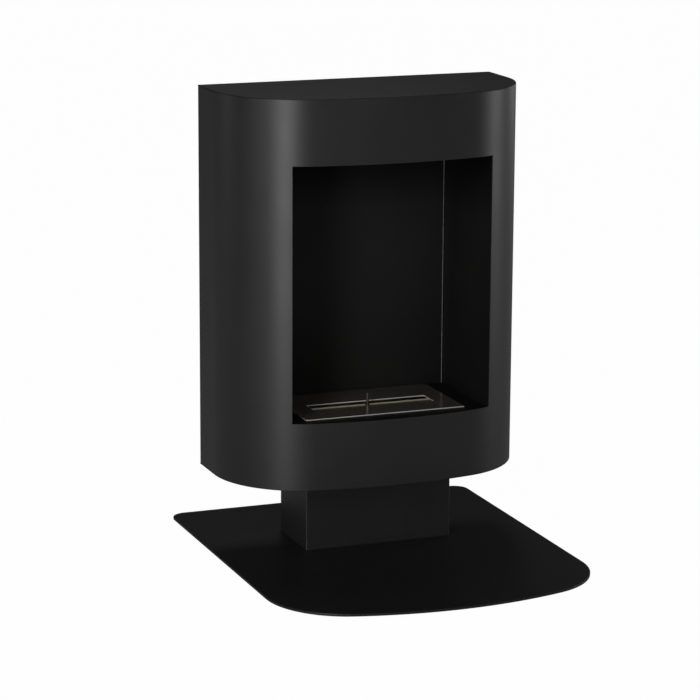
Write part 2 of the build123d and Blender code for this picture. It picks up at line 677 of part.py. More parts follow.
def heat_shield():
    """The firebox's rear wall: a sheet whose sides are folded backwards."""
    width = 2 * (FIREBOX_HALF - HEAT_SHIELD_GAP)
    depth = 2 * HEAT_SHIELD_RETURN
    outer = RectangleRounded(width, depth, HEAT_SHIELD_BEND_RADIUS)
    inner = RectangleRounded(
        width - 2 * FIREBOX_SHEET,
        depth - 2 * FIREBOX_SHEET,
        HEAT_SHIELD_BEND_RADIUS - FIREBOX_SHEET,
    )
    ring = Pos(0, SHIELD_Y + HEAT_SHIELD_RETURN) * (outer - inner)
    rear_half = rectangle(-FAR, FAR, SHIELD_Y + HEAT_SHIELD_RETURN, FAR)
    base_z = FLOOR_Z + HEAT_SHIELD_END_GAP
    return slab(ring - rear_half, base_z, CEILING_Z - HEAT_SHIELD_END_GAP - base_z)


def shield_standoffs():
    """The threaded sleeves welded behind the heat shield, which keep it off the back panel."""
    y0 = SHIELD_Y + FIREBOX_SHEET
    length = SHELL_REAR_Y - y0
    sleeve = Pos(0, 0, length / 2) * Cylinder(STANDOFF_RADIUS, length)
    bore_depth = STANDOFF_SCREW_DEPTH + THREAD_REACH
    bore = Pos(0, 0, bore_depth / 2) * Cylinder(M5_RADIUS + THREAD_CLEARANCE, bore_depth)
    return group([Pos(x, SHELL_REAR_Y, z) * Rot(X=90) * (sleeve - bore) for x, z in STANDOFFS])


def shield_screws():
    """The screws through the back panel into the standoffs."""
    length = BACK_PANEL_THICKNESS + STANDOFF_SCREW_DEPTH
    screw = button_screw(M5_RADIUS, M5_HEAD_RADIUS, M5_HEAD_HEIGHT, length)
    return rear_screws(screw, STANDOFFS, BODY_REAR_Y)


# ---- Burner


def burner_plate():
    """The polished plate that rests on the firebox floor, with the long flame slot."""
    outline = Pos(0, BURNER_MIDDLE_Y) * RectangleRounded(BURNER_WIDTH, BURNER_DEPTH, BURNER_CORNER)
    slot = Pos(0, SLOT_MIDDLE_Y) * RectangleRounded(SLOT_LENGTH, SLOT_DEPTH, SLOT_CORNER)
    part = slab(outline - slot, FLOOR_Z, BURNER_PLATE_THICKNESS)
    return rounded_rim(part, BURNER_TOP_Z, BURNER_EDGE_RADIUS)


def fuel_container():
    """The open-topped steel box under the burner plate."""
    outer = RectangleRounded(CONTAINER_WIDTH, CONTAINER_DEPTH, CONTAINER_CORNER)
    inner = RectangleRounded(
        CONTAINER_WIDTH - 2 * CONTAINER_SHEET,
        CONTAINER_DEPTH - 2 * CONTAINER_SHEET,
        CONTAINER_CORNER - CONTAINER_SHEET,
    )
    hollow_height = CONTAINER_HEIGHT - CONTAINER_SHEET
    box = slab(outer, CONTAINER_BASE_Z, CONTAINER_HEIGHT)
    hollow = slab(inner, CONTAINER_BASE_Z + CONTAINER_SHEET, hollow_height)
    return Pos(0, BURNER_MIDDLE_Y, 0) * (box - hollow)


def absorbent_wool():
    """The ceramic wool pad that holds the fuel in the container."""
    margin = CONTAINER_SHEET + WOOL_CLEARANCE
    base_z = CONTAINER_BASE_Z + CONTAINER_SHEET + WOOL_CLEARANCE
    outline = RectangleRounded(
        CONTAINER_WIDTH - 2 * margin, CONTAINER_DEPTH - 2 * margin, CONTAINER_CORNER
    )
    part = slab(Pos(0, BURNER_MIDDLE_Y) * outline, base_z, WOOL_HEIGHT)
    return rounded_rim(part, base_z + WOOL_HEIGHT, WOOL_EDGE_RADIUS)


def damper_rail():
    """The right-hand guide: a stepped strip under the burner plate with a ledge for the damper."""
    web_x = DAMPER_HALF + RUNNING_GAP
    ledge_top_z = DAMPER_BASE_Z - RUNNING_GAP
    ledge_z = ledge_top_z - RAIL_SHEET
    y0 = BURNER_REAR_Y - BURNER_DEPTH + CONTAINER_RIM + CONTAINER_SHEET + RAIL_END_GAP
    y1 = SLOT_REAR_Y + RAIL_REAR_REACH
    flange = block(web_x, web_x + RAIL_FLANGE, y0, y1, FLOOR_Z - RAIL_SHEET, FLOOR_Z)
    web = block(web_x, web_x + RAIL_SHEET, y0, y1, ledge_z, FLOOR_Z)
    ledge = block(web_x - RAIL_LEDGE, web_x + RAIL_SHEET, y0, y1, ledge_z, ledge_top_z)
    return flange + web + ledge


def damper_rails():
    """The two guides that the damper slides in."""
    return group([damper_rail(), mirrored(damper_rail())])


# ---- Damper


def damper_plate():
    """The plate that slides forwards and backwards under the slot."""
    part = block(
        -DAMPER_HALF,
        DAMPER_HALF,
        DAMPER_REAR_Y - DAMPER_DEPTH,
        DAMPER_REAR_Y,
        DAMPER_BASE_Z,
        DAMPER_TOP_Z,
    )
    hole = [(PIN_OFFSET, PIN_Y)]
    return drill(part, hole, PIN_STUB_RADIUS + THREAD_CLEARANCE, DAMPER_BASE_Z, DAMPER_TOP_Z)


def damper_pin():
    """The upright pin that moves the damper, with a collar on the plate and a threaded stub."""
    shaft_height = BURNER_TOP_Z + PIN_RISE - DAMPER_TOP_Z
    shaft = Pos(0, 0, shaft_height / 2) * Cylinder(PIN_RADIUS, shaft_height)
    shaft = rounded_rim(shaft, shaft_height, PIN_TIP_RADIUS)
    collar = Pos(0, 0, PIN_COLLAR_HEIGHT / 2) * Cylinder(PIN_COLLAR_RADIUS, PIN_COLLAR_HEIGHT)
    stub = Pos(0, 0, -PIN_STUB_LENGTH / 2) * Cylinder(PIN_STUB_RADIUS, PIN_STUB_LENGTH)
    return Pos(PIN_OFFSET, PIN_Y, DAMPER_TOP_Z) * (shaft + collar + stub)


def pin_nut():
    """The nut under the damper."""
    nut = hexagon_nut(PIN_STUB_RADIUS, M4_NUT_FLATS, M4_NUT_HEIGHT)
    return Pos(PIN_OFFSET, PIN_Y, DAMPER_BASE_Z - M4_NUT_HEIGHT) * nut


# ---- Write every piece to its own file

PIECES = {
    "floor_plate": floor_plate,
    "foot_screws": foot_screws,
    "pedestal_foot": pedestal_foot,
    "foot_nuts": foot_nuts,
    "pedestal_shell": pedestal_shell,
    "pedestal_head": pedestal_head,
    "pedestal_rear_cover": pedestal_rear_cover,
    "rear_cover_screws": rear_cover_screws,
    "head_bolts": head_bolts,
    "head_washers": head_washers,
    "head_nuts": head_nuts,
    "body_bottom": body_bottom,
    "body_shell": body_shell,
    "body_top": body_top,
    "back_panel": back_panel,
    "back_panel_screws": back_panel_screws,
    "floor_carrier_right": floor_carrier,
    "floor_carrier_left": lambda: mirrored(floor_carrier()),
    "firebox_floor": firebox_floor,
    "firebox_side_right": firebox_side,
    "firebox_side_left": lambda: mirrored(firebox_side()),
    "firebox_ceiling": firebox_ceiling,
    "floor_screws": floor_screws,
    "floor_nuts": floor_nuts,
    "ceiling_screws": ceiling_screws,
    "ceiling_nuts": ceiling_nuts,
    "heat_shield": heat_shield,
    "shield_standoffs": shield_standoffs,
    "shield_screws": shield_screws,
    "burner_plate": burner_plate,
    "fuel_container": fuel_container,
    "absorbent_wool": absorbent_wool,
    "damper_rails": damper_rails,
    "damper_plate": damper_plate,
    "damper_pin": damper_pin,
    "pin_nut": pin_nut,
}

os.makedirs("parts", exist_ok=True)
for name, make in PIECES.items():
    export_step(make(), f"parts/{name}.step")
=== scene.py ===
"""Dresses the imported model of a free-standing bioethanol fireplace.

The fireplace has a black sheet-steel body with a D-shaped plan on a folded pedestal and a wide floor
plate. A polished burner with a sliding damper hangs in the firebox floor. Everything is in metres, in
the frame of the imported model: X to the right, -Y out of the open front, Z up, origin on the floor.
"""

from __future__ import annotations

import json
import logging
import math
from collections.abc import Callable, Iterable, Sequence
from dataclasses import dataclass, field
from enum import Enum

import bmesh
import bpy
from bmesh.types import BMEdge, BMesh, BMFace, BMVert
from bpy.types import ID, Material, Mesh, MeshPolygon, Node, NodeSocket, NodeTree, Object, World
from mathutils import Matrix, Vector, noise

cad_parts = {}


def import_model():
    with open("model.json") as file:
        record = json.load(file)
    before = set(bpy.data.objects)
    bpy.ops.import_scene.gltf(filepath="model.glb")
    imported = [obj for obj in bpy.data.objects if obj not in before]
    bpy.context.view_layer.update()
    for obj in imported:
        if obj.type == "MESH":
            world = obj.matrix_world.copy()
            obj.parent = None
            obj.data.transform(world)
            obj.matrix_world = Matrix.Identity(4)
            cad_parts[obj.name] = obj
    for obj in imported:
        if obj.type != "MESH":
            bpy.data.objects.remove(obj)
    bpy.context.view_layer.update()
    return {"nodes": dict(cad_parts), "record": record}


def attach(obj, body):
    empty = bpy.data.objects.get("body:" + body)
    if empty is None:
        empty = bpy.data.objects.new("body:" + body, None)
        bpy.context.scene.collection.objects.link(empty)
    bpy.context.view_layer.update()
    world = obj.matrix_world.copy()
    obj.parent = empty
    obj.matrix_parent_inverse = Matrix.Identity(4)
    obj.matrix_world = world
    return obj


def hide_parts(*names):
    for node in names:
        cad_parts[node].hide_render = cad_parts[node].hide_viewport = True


Span = tuple[float, float]
LOG = logging.getLogger("fireplace")
MM = 0.001
MERGE = 1e-6  # points closer than this are one
BEND_STEPS = 6  # edges across the bend of a folded sheet
HOLE_SIDES = 40
PAST = 1 * MM  # how far a cutter reaches past a face
STANDING = 0.5  # a face whose normal rises less than this stands upright
SHARP_TURN = math.radians(40)  # only edges that turn further than this are rounded
NOISE_MIDDLE = (0.3, 0.7)  # most of a noise pattern lies between these values
SHEET_EDGE = 0.25 * MM  # radius of a coated sheet's cut edge
PANEL_EDGE = 0.3 * MM  # the same on panels that are coated thicker


# ---------------------------------------------------------------- colour and shader nodes


def linear(code: str) -> tuple[float, float, float, float]:
    """Turns an sRGB hex colour into linear light.

    Args:
        code: The colour as "#rrggbb".

    Returns:
        Red, green, blue and an alpha of 1.
    """
    parts = [int(code[i : i + 2], 16) / 255 for i in (1, 3, 5)]
    light = [p / 12.92 if p <= 0.04045 else ((p + 0.055) / 1.055) ** 2.4 for p in parts]
    return (*light, 1.0)


def add_node(
    tree: NodeTree, kind: str, settings: dict | None = None, links: dict | None = None
) -> Node:
    """Adds a shader node.

    Args:
        tree: The node tree it goes into.
        kind: The node's type, without the ShaderNode that all of them start with.
        settings: Values for its properties or, by name or index, its input sockets.
        links: What feeds its inputs, by name or index: a socket, or a node for its first output.

    Returns:
        The new node.
    """
    node = tree.nodes.new(f"ShaderNode{kind}")
    for key, value in (settings or {}).items():
        if isinstance(key, str) and hasattr(node, key):
            setattr(node, key, value)
        else:
            node.inputs[key].default_value = value
    for key, source in (links or {}).items():
        socket = source.outputs[0] if isinstance(source, Node) else source
        tree.links.new(socket, node.inputs[key])
    return node


def add_noise(tree: NodeTree, place: Node | NodeSocket, size: float, detail: float) -> Node:
    """Adds a noise pattern whose features are about a size across."""
    settings = {"Scale": 1 / size, "Detail": detail}
    return add_node(tree, "TexNoise", settings, {"Vector": place})


def add_stretch(tree: NodeTree, place: NodeSocket, scale: tuple[float, float, float]) -> Node:
    """Stretches what follows along each axis whose scale is under 1."""
    return add_node(tree, "Mapping", {"Scale": scale}, {"Vector": place})


def add_ramp(
    tree: NodeTree, pattern: Node, places: Sequence[float], codes: Sequence[str]
) -> Node:
    """Adds a ramp of colours over a pattern.

    Args:
        tree: The node tree it goes into.
        pattern: The pattern.
        places: Where on it each colour is full, in rising order.
        codes: The colours as sRGB hex codes.

    Returns:
        The new node.
    """
    ramp = add_node(tree, "ValToRGB", links={"Fac": pattern})
    stops = ramp.color_ramp.elements
    while len(stops) < len(codes):
        stops.new(0.5)
    for stop, place, code in zip(stops, places, codes):
        stop.position = place
        stop.color = linear(code)
    return ramp


def add_range(tree: NodeTree, source: Node | NodeSocket, span: Span, values: Span) -> Node:
    """Maps a span of a source onto a span of values."""
    settings = dict(zip(("From Min", "From Max", "To Min", "To Max"), (*span, *values)))
    return add_node(tree, "MapRange", settings, {"Value": source})


def add_bump(
    tree: NodeTree, height: Node, strength: float, depth: float, base: Node | None = None
) -> Node:
    """Adds the relief of a pattern, on top of another one if there is a base."""
    links = {"Height": height} if base is None else {"Height": height, "Normal": base}
    return add_node(tree, "Bump", {"Strength": strength, "Distance": depth}, links)


def empty_tree(owner: Material | World) -> NodeTree:
    """Gives a material or a world an empty node tree.

    Args:
        owner: The material or world.

    Returns:
        Its node tree.
    """
    owner.use_nodes = True
    owner.node_tree.nodes.clear()
    return owner.node_tree


def start_material(name: str) -> tuple[Material, NodeTree, NodeSocket]:
    """Starts a material.

    Args:
        name: What the finish is called.

    Returns:
        The material, its empty node tree and the socket with the Object coordinates.
    """
    material = bpy.data.materials.new(name)
    tree = empty_tree(material)
    return material, tree, add_node(tree, "TexCoord").outputs["Object"]


def end_material(tree: NodeTree, settings: dict, links: dict) -> None:
    """Ends a material with its Principled shader.

    Args:
        tree: The material's node tree.
        settings: The shader's plain values.
        links: What feeds its other inputs.
    """
    shader = add_node(tree, "BsdfPrincipled", settings, links)
    add_node(tree, "OutputMaterial", links={"Surface": shader})


# ---------------------------------------------------------------- finishes


@dataclass(frozen=True)
class PowderCoat:
    """Matt polyester powder coat, sprayed and baked on sheet steel.

    The eye gets a deep soft black, broad satin highlights and a very fine orange peel.
    """

    name: str = "matt_black_powder_coat"
    dark: str = "#191919"
    light: str = "#1b1b1b"
    fade: Span = (0.35, 0.65)  # where on the noise the two colours are full
    roughness: Span = (0.4, 0.44)
    peel: float = 2.4 * MM  # the real peel is about 0.8 mm, drawn coarser so that it shows
    smudge: float = 90 * MM

    def material(self) -> Material:
        """Builds the material.

        Returns:
            The material.
        """
        material, tree, place = start_material(self.name)
        peel = add_noise(tree, place, self.peel, detail=2.0)
        smudge = add_noise(tree, place, self.smudge, detail=4.0)
        colour = add_ramp(tree, smudge, self.fade, (self.dark, self.light))
        rough = add_range(tree, smudge, NOISE_MIDDLE, self.roughness)
        bump = add_bump(tree, peel, strength=0.5, depth=0.03 * MM)
        links = {"Base Color": colour, "Roughness": rough, "Normal": bump}
        end_material(tree, {"IOR": 1.5}, links)
        return material


@dataclass(frozen=True)
class ShadedFloorCoat(PowderCoat):
    """A darker copy of the body's powder coat for the floor plate: painted shade."""

    name: str = "floor_plate_coat_painted_shade"
    dark: str = "#111111"
    light: str = "#131313"


@dataclass(frozen=True)
class StovePaint:
    """Matt heat-resistant silicone paint, sprayed on the firebox sheets.

    The eye gets a flat, almost lightless black with a fine dry grain and faint heat haze. Its sheen fades
    out under the ceiling, a painted shade, and is lower towards the bottom, round the burner.
    """

    name: str = "matt_silicone_stove_paint"
    dark: str = "#0f0f0f"
    light: str = "#131312"
    fade: Span = (0.35, 0.7)
    roughness: Span = (0.53, 0.63)
    grit: float = 2.0 * MM  # the real grain is under 0.3 mm, drawn coarser so that it shows
    haze: float = 120 * MM
    sheen: float = 0.4
    painted_shade_and_mottle: Span = (630 * MM, 735 * MM)  # heights where the painted shade under the ceiling starts and is full
    # the sheen left in the painted shade under the ceiling
    ceiling_shade_sheen: float = 0.02
    # heights over which the sheen drops towards the bottom
    sheen_drop_heights: Span = (520 * MM, 270 * MM)
    bottom_sheen_share: float = 0.7  # how much of the sheen is left at the burner

    def material(self) -> Material:
        """Builds the material.

        Returns:
            The material.
        """
        material, tree, place = start_material(self.name)
        grit = add_noise(tree, place, self.grit, detail=3.0)
        upright = add_stretch(tree, place, scale=(1, 1, 0.5))
        haze = add_noise(tree, upright, self.haze, detail=4.0)
        colour = add_ramp(tree, haze, self.fade, (self.dark, self.light))
        rough = add_range(tree, haze, NOISE_MIDDLE, self.roughness)
        height = add_node(tree, "SeparateXYZ", links={"Vector": place}).outputs["Z"]
        # painted shade: the sheen fades out under the ceiling
        under_ceiling_shade = add_range(tree, height, self.painted_shade_and_mottle, (self.sheen, self.ceiling_shade_sheen))
        # less sheen towards the bottom
        lowered_sheen = add_range(tree, height, self.sheen_drop_heights, (1.0, self.bottom_sheen_share))
        settings = {"operation": "MULTIPLY"}
        sheen = add_node(tree, "Math", settings, {0: under_ceiling_shade, 1: lowered_sheen})
        bump = add_bump(tree, grit, strength=0.5, depth=0.03 * MM)
        links = {"Base Color": colour, "Roughness": rough, "Specular IOR Level": sheen, "Normal": bump}
        end_material(tree, {"IOR": 1.45}, links)
        return material


@dataclass(frozen=True)
class PolishedStainless:
    """Stainless steel sheet, 1.4301, ground fine and polished.

    The eye gets a dark mirror of the firebox with hairline grinding marks along its length.
    """

    name: str = "polished_stainless_steel"
    colour: str = "#c4c0b8"
    stain: str = "#b2aba0"
    fade: Span = (0.4, 0.75)
    roughness: Span = (0.15, 0.2)
    hairline: float = 1.2 * MM  # real grinding marks are 0.05 mm apart, drawn coarser to show
    haze: float = 0.08  # the share of light that fine scratches scatter
    patch: float = 60 * MM

    def material(self) -> Material:
        """Builds the material.

        Returns:
            The material.
        """
        material, tree, place = start_material(self.name)
        along = add_stretch(tree, place, scale=(0.03, 1, 1))
        hairline = add_noise(tree, along, self.hairline, detail=3.0)
        patch = add_noise(tree, place, self.patch, detail=4.0)
        colour = add_ramp(tree, patch, self.fade, (self.colour, self.stain))
        rough = add_range(tree, hairline, NOISE_MIDDLE, self.roughness)
        bump = add_bump(tree, hairline, strength=0.15, depth=0.004 * MM)
        links = {"Base Color": colour, "Roughness": rough, "Normal": bump}
        end_material(tree, {"Metallic": 1 - self.haze}, links)
        return material


@dataclass(frozen=True)
class HeatTintWithPaintedLight:
    """Stainless steel sheet that flames have tinted.

    The eye gets pale straw along the flame's edge, a painted highlight, then golden olive that deepens to
    bronze towards the front, a painted shade. The oxide is a thin dull skin, so that it scatters part of
    the light.
    """

    name: str = "heat_tint_with_painted_light"
    # straw is a painted highlight at the rear edge; the deepening to bronze towards the front is painted
    # shade
    straw: str = "#efe6cf"
    olive: str = "#6b5e30"
    bronze: str = "#2b2518"
    roughness: Span = (0.27, 0.35)
    skin: float = 0.8  # the share of light that the oxide scatters
    flame_y: float = 104 * MM  # where the tints start
    reach: float = 30 * MM  # how far to the front they run
    waver: float = 6 * MM  # how far their edges wander
    # size of the mottle that makes the edges of the tints wander and varies the roughness
    painted_shade_and_mottle: float = 9 * MM
    fade: tuple[float, float, float] = (0.22, 0.4, 0.9)

    def material(self) -> Material:
        """Builds the material.

        Returns:
            The material.
        """
        material, tree, place = start_material(self.name)
        painted_shade_and_mottle = add_noise(tree, place, self.painted_shade_and_mottle, detail=3.0)
        depth = add_node(tree, "SeparateXYZ", links={"Vector": place}).outputs["Y"]
        settings = {"operation": "MULTIPLY_ADD", 1: self.waver}
        edge = add_node(tree, "Math", settings, {0: painted_shade_and_mottle, 2: depth})
        span = (self.flame_y + self.waver / 2, self.flame_y - self.reach)
        away = add_range(tree, edge, span, (0.0, 1.0))
        # painted highlight at the rear edge, painted shade towards the front
        colour = add_ramp(tree, away, self.fade, (self.straw, self.olive, self.bronze))
        rough = add_range(tree, painted_shade_and_mottle, NOISE_MIDDLE, self.roughness)
        links = {"Base Color": colour, "Roughness": rough}
        end_material(tree, {"Metallic": 1 - self.skin}, links)
        return material


@dataclass(frozen=True)
class PatchySteel:
    """Steel whose colour and gloss vary together in soft patches."""

    name: str
    colour: str
    patch_colour: str
    fade: Span = (0.35, 0.65)
    roughness: Span = (0.4, 0.5)
    patch: float = 4 * MM
    detail: float = 3.0
    metal: float = 1.0  # a dull skin scatters the rest

    def material(self) -> Material:
        """Builds the material.

        Returns:
            The material.
        """
        material, tree, place = start_material(self.name)
        patch = add_noise(tree, place, self.patch, self.detail)
        colour = add_ramp(tree, patch, self.fade, (self.colour, self.patch_colour))
        rough = add_range(tree, patch, NOISE_MIDDLE, self.roughness)
        links = {"Base Color": colour, "Roughness": rough}
        end_material(tree, {"Metallic": self.metal}, links)
        return material


@dataclass(frozen=True)
class SatinEdgeHighlight(PatchySteel):
    """The cut edges of stainless sheet, deburred on a belt.

    The eye gets a pale satin line with faint marks across it; its near-white, mostly scattering colour is
    a painted highlight along the edges.
    """

    name: str = "deburred_edge_painted_highlight"
    # near-white: a painted highlight on the satin edges
    colour: str = "#f4f2ec"
    patch_colour: str = "#e6e2da"
    patch: float = 1.5 * MM  # real belt marks are 0.1 mm apart, drawn coarser so that they show
    metal: float = 0.35


@dataclass(frozen=True)
class FlamedPin(PatchySteel):
    """A stainless pin that stands in the flames and has gone dull.

    The eye gets a dark grey steel rod, slightly brown, with a soft line of light on it.
    """

    name: str = "flame_dulled_stainless"
    colour: str = "#625e57"
    patch_colour: str = "#4f483d"
    roughness: Span = (0.27, 0.35)
    patch: float = 8 * MM
    detail: float = 2.0
    metal: float = 0.85


@dataclass(frozen=True)
class FoldHighlight(PatchySteel):
    """A tight fold of the heat shield, finished as pale bare steel: a painted highlight.

    The eye gets a thin grey satin line down the fold.
    """

    name: str = "fold_painted_highlight"
    colour: str = "#c0c0be"
    patch_colour: str = "#989795"
    fade: Span = (0.35, 0.7)
    roughness: Span = (0.45, 0.6)
    patch: float = 12 * MM
    metal: float = 0.5


@dataclass(frozen=True)
class ZincPlate(PatchySteel):
    """Bright zinc plating on steel bolts and nuts.

    The eye gets a pale bluish grey metal with cloudy patches.
    """

    name: str = "bright_zinc_plate"
    colour: str = "#b4b8bb"
    patch_colour: str = "#93989d"
    roughness: Span = (0.28, 0.42)


@dataclass(frozen=True)
class BlackOxide(PatchySteel):
    """Blackened steel screws, oiled.

    The eye gets a slightly glossier black than the coat around them.
    """

    name: str = "black_oxide_steel"
    colour: str = "#161617"
    patch_colour: str = "#242424"
    roughness: Span = (0.31, 0.46)
    patch: float = 2.5 * MM
    metal: float = 0.3


@dataclass(frozen=True)
class CeramicWool:
    """Needled ceramic fibre blanket.

    The eye gets a chalky cream mat of fine crossed fibres with no shine.
    """

    name: str = "ceramic_fibre_wool"
    pale: str = "#e2dccf"
    shade: str = "#b9b1a1"
    fade: Span = (0.35, 0.6)
    fibre: float = 1.0 * MM  # real fibres are microns thick, drawn as the tufts they form
    clump: float = 9 * MM

    def material(self) -> Material:
        """Builds the material.

        Returns:
            The material.
        """
        material, tree, place = start_material(self.name)
        clump = add_noise(tree, place, self.clump, detail=4.0)
        colour = add_ramp(tree, clump, self.fade, (self.shade, self.pale))
        bump = add_bump(tree, clump, strength=0.6, depth=1 * MM)
        for scale in ((0.15, 1, 1), (1, 0.15, 1)):
            fibre = add_noise(tree, add_stretch(tree, place, scale), self.fibre, detail=4.0)
            bump = add_bump(tree, fibre, strength=0.6, depth=0.4 * MM, base=bump)
        settings = {"Roughness": 1.0, "Specular IOR Level": 0.1}
        end_material(tree, settings, {"Base Color": colour, "Normal": bump})
        return material


class Finish(Enum):
    """Every finish on the fireplace, by the record's material slot."""

    POWDER = "black_powder_coat"
    FIREBOX = "firebox_heat_paint"
    SCREW = "blackened_screws"
    ZINC = "zinc_plated_steel"
    STAINLESS = "stainless_steel"
    TINT_AND_PAINTED_LIGHT = "heat_tinted_stainless"
    WOOL = "ceramic_wool"


RECIPES = {
    Finish.POWDER: PowderCoat(),
    Finish.FIREBOX: StovePaint(),
    Finish.SCREW: BlackOxide(),
    Finish.ZINC: ZincPlate(),
    Finish.STAINLESS: PolishedStainless(),
    Finish.TINT_AND_PAINTED_LIGHT: HeatTintWithPaintedLight(),
    Finish.WOOL: CeramicWool(),
}


# ---------------------------------------------------------------- mesh making


def put(name: str, data: ID) -> Object:
    """Puts a new object into the scene.

    Args:
        name: Its name.
        data: Its mesh, lamp or camera.

    Returns:
        The object.
    """
    item = bpy.data.objects.new(name, data)
    bpy.context.scene.collection.objects.link(item)
    return item


def to_mesh(bm: BMesh, name: str) -> Mesh:
    """Writes a bmesh to a new mesh.

    Args:
        bm: The bmesh. It is freed.
        name: The new mesh's name.

    Returns:
        The new mesh.
    """
    mesh = bpy.data.meshes.new(name)
    bm.to_mesh(mesh)
    bm.free()
    return mesh


def sweep(bm: BMesh, start: BMVert, centre: Span, angle: float, steps: int) -> BMVert:
    """Draws an arc in plan from a vertex.

    Args:
        bm: The mesh.
        start: The vertex that the arc starts from.
        centre: The arc's centre in plan.
        angle: How far it turns, anticlockwise from above, in radians.
        steps: How many edges it has.

    Returns:
        The arc's last vertex.
    """
    turned = bmesh.ops.spin(
        bm,
        geom=[start],
        cent=(*centre, start.co.z),
        axis=(0, 0, 1),
        angle=angle,
        steps=steps,
        use_duplicate=False,
    )
    return next(v for v in turned["geom_last"] if isinstance(v, BMVert))


def draw_to(bm: BMesh, start: BMVert, x: float, y: float) -> BMVert:
    """Draws a straight edge in plan from a vertex.

    Args:
        bm: The mesh.
        start: The vertex that the edge starts from.
        x: Where it ends, to the right.
        y: Where it ends, to the rear.

    Returns:
        Its far end.
    """
    end = bmesh.ops.extrude_vert_indiv(bm, verts=[start])["verts"][0]
    end.co = (x, y, start.co.z)
    return end


def draw_corner(bm: BMesh, start: BMVert, first: Span, centre: Span) -> BMVert:
    """Draws a straight edge in plan and, from its end, a quarter turn about a centre."""
    return sweep(bm, draw_to(bm, start, *first), centre, math.pi / 2, BEND_STEPS)


def reflect(bm: BMesh, axis: str) -> None:
    """Adds the mirror image of everything in a mesh.

    Args:
        bm: The mesh.
        axis: The axis whose middle plane is the mirror.
    """
    geom = bm.verts[:] + bm.edges[:] + bm.faces[:]
    bmesh.ops.mirror(bm, geom=geom, merge_dist=MERGE, axis=axis)
    bmesh.ops.remove_doubles(bm, verts=bm.verts[:], dist=MERGE)


def lift(bm: BMesh, edges: list[BMEdge], rise: float) -> list:
    """Raises a wall of faces from edges.

    Args:
        bm: The mesh.
        edges: The edges at the wall's foot.
        rise: The wall's height.

    Returns:
        The edges at the wall's top.
    """
    raised = bmesh.ops.extrude_edge_only(bm, edges=edges)["geom"]
    verts = [g for g in raised if isinstance(g, BMVert)]
    bmesh.ops.translate(bm, verts=verts, vec=(0, 0, rise))
    return [g for g in raised if isinstance(g, BMEdge)]


def thicken(bm: BMesh, faces: list[BMFace], rise: float) -> None:
    """Turns flat faces into a closed slab.

    Args:
        bm: The mesh.
        faces: The slab's underside.
        rise: Its thickness, upwards.
    """
    top = bmesh.ops.extrude_face_region(bm, geom=faces, use_keep_orig=True)["geom"]
    verts = [g for g in top if isinstance(g, BMVert)]
    bmesh.ops.translate(bm, verts=verts, vec=(0, 0, rise))
    bmesh.ops.recalc_face_normals(bm, faces=bm.faces[:])


def round_edges(bm: BMesh, edges: list[BMEdge], radius: float, segments: int) -> None:
    """Rounds edges of a mesh.

    Args:
        bm: The mesh.
        edges: The edges.
        radius: Their new radius.
        segments: The faces across each.
    """
    bmesh.ops.bevel(
        bm,
        geom=edges,
        offset=radius,
        segments=segments,
        profile=0.5,  # a circle's
        affect="EDGES",
        offset_type="OFFSET",
        material=-1,  # the same as beside it
        clamp_overlap=True,
    )


def edges_at(bm: BMesh, level: float) -> list[BMEdge]:
    """Finds the rim of a slab's flat face.

    Args:
        bm: The slab.
        level: The face's height.

    Returns:
        The edges of its rim.
    """
    return [
        edge
        for edge in bm.edges
        if all(abs(v.co.z - level) < MERGE for v in edge.verts)
        and any(abs(face.normal.z) < STANDING for face in edge.link_faces)
    ]


def sheet_metal(bm: BMesh, thickness: float, middle: tuple[float, float, float]) -> None:
    """Gives an open surface its sheet thickness, on the side of a point.

    Args:
        bm: The mesh, an open surface.
        thickness: The sheet's thickness.
        middle: A point on the side that the thickness goes to.
    """
    bmesh.ops.recalc_face_normals(bm, faces=bm.faces[:])
    face = max(bm.faces, key=lambda f: f.calc_area())
    if face.normal.dot(Vector(middle) - face.calc_center_median()) > 0:
        bmesh.ops.reverse_faces(bm, faces=bm.faces[:])
    bmesh.ops.solidify(bm, geom=bm.faces[:], thickness=thickness)
    bmesh.ops.recalc_face_normals(bm, faces=bm.faces[:])


def rounded_rectangle(
    bm: BMesh, size: Span, centre: Span, radius: float, level: float
) -> list[BMEdge]:
    """Draws a closed rectangle with round corners.

    Args:
        bm: The mesh it goes into.
        size: Its width and depth.
        centre: Its centre in plan.
        radius: Its corner radius.
        level: Its height.

    Returns:
        Its edges.
    """
    own = bmesh.new()
    half_x, half_y = size[0] / 2, size[1] / 2
    inner_x, inner_y = half_x - radius, half_y - radius
    vert = own.verts.new((half_x, 0, 0))
    vert = draw_corner(own, vert, (half_x, inner_y), (inner_x, inner_y))
    draw_to(own, vert, 0, half_y)
    reflect(own, "X")
    reflect(own, "Y")
    bmesh.ops.translate(own, verts=own.verts[:], vec=(*centre, level))
    return join(bm, own)


def join(bm: BMesh, other: BMesh) -> list[BMEdge]:
    """Moves another mesh into this one.

    Args:
        bm: The mesh it goes into.
        other: The mesh that moves. It is freed.

    Returns:
        The edges that came in.
    """
    before = set(bm.edges)
    carrier = to_mesh(other, "carrier")
    bm.from_mesh(carrier)
    bpy.data.meshes.remove(carrier)
    return [edge for edge in bm.edges if edge not in before]


def fill(bm: BMesh, edges: list[BMEdge]) -> list:
    """Fills a closed loop of edges with one face and returns it in a list."""
    return bmesh.ops.contextual_create(bm, geom=edges)["faces"]


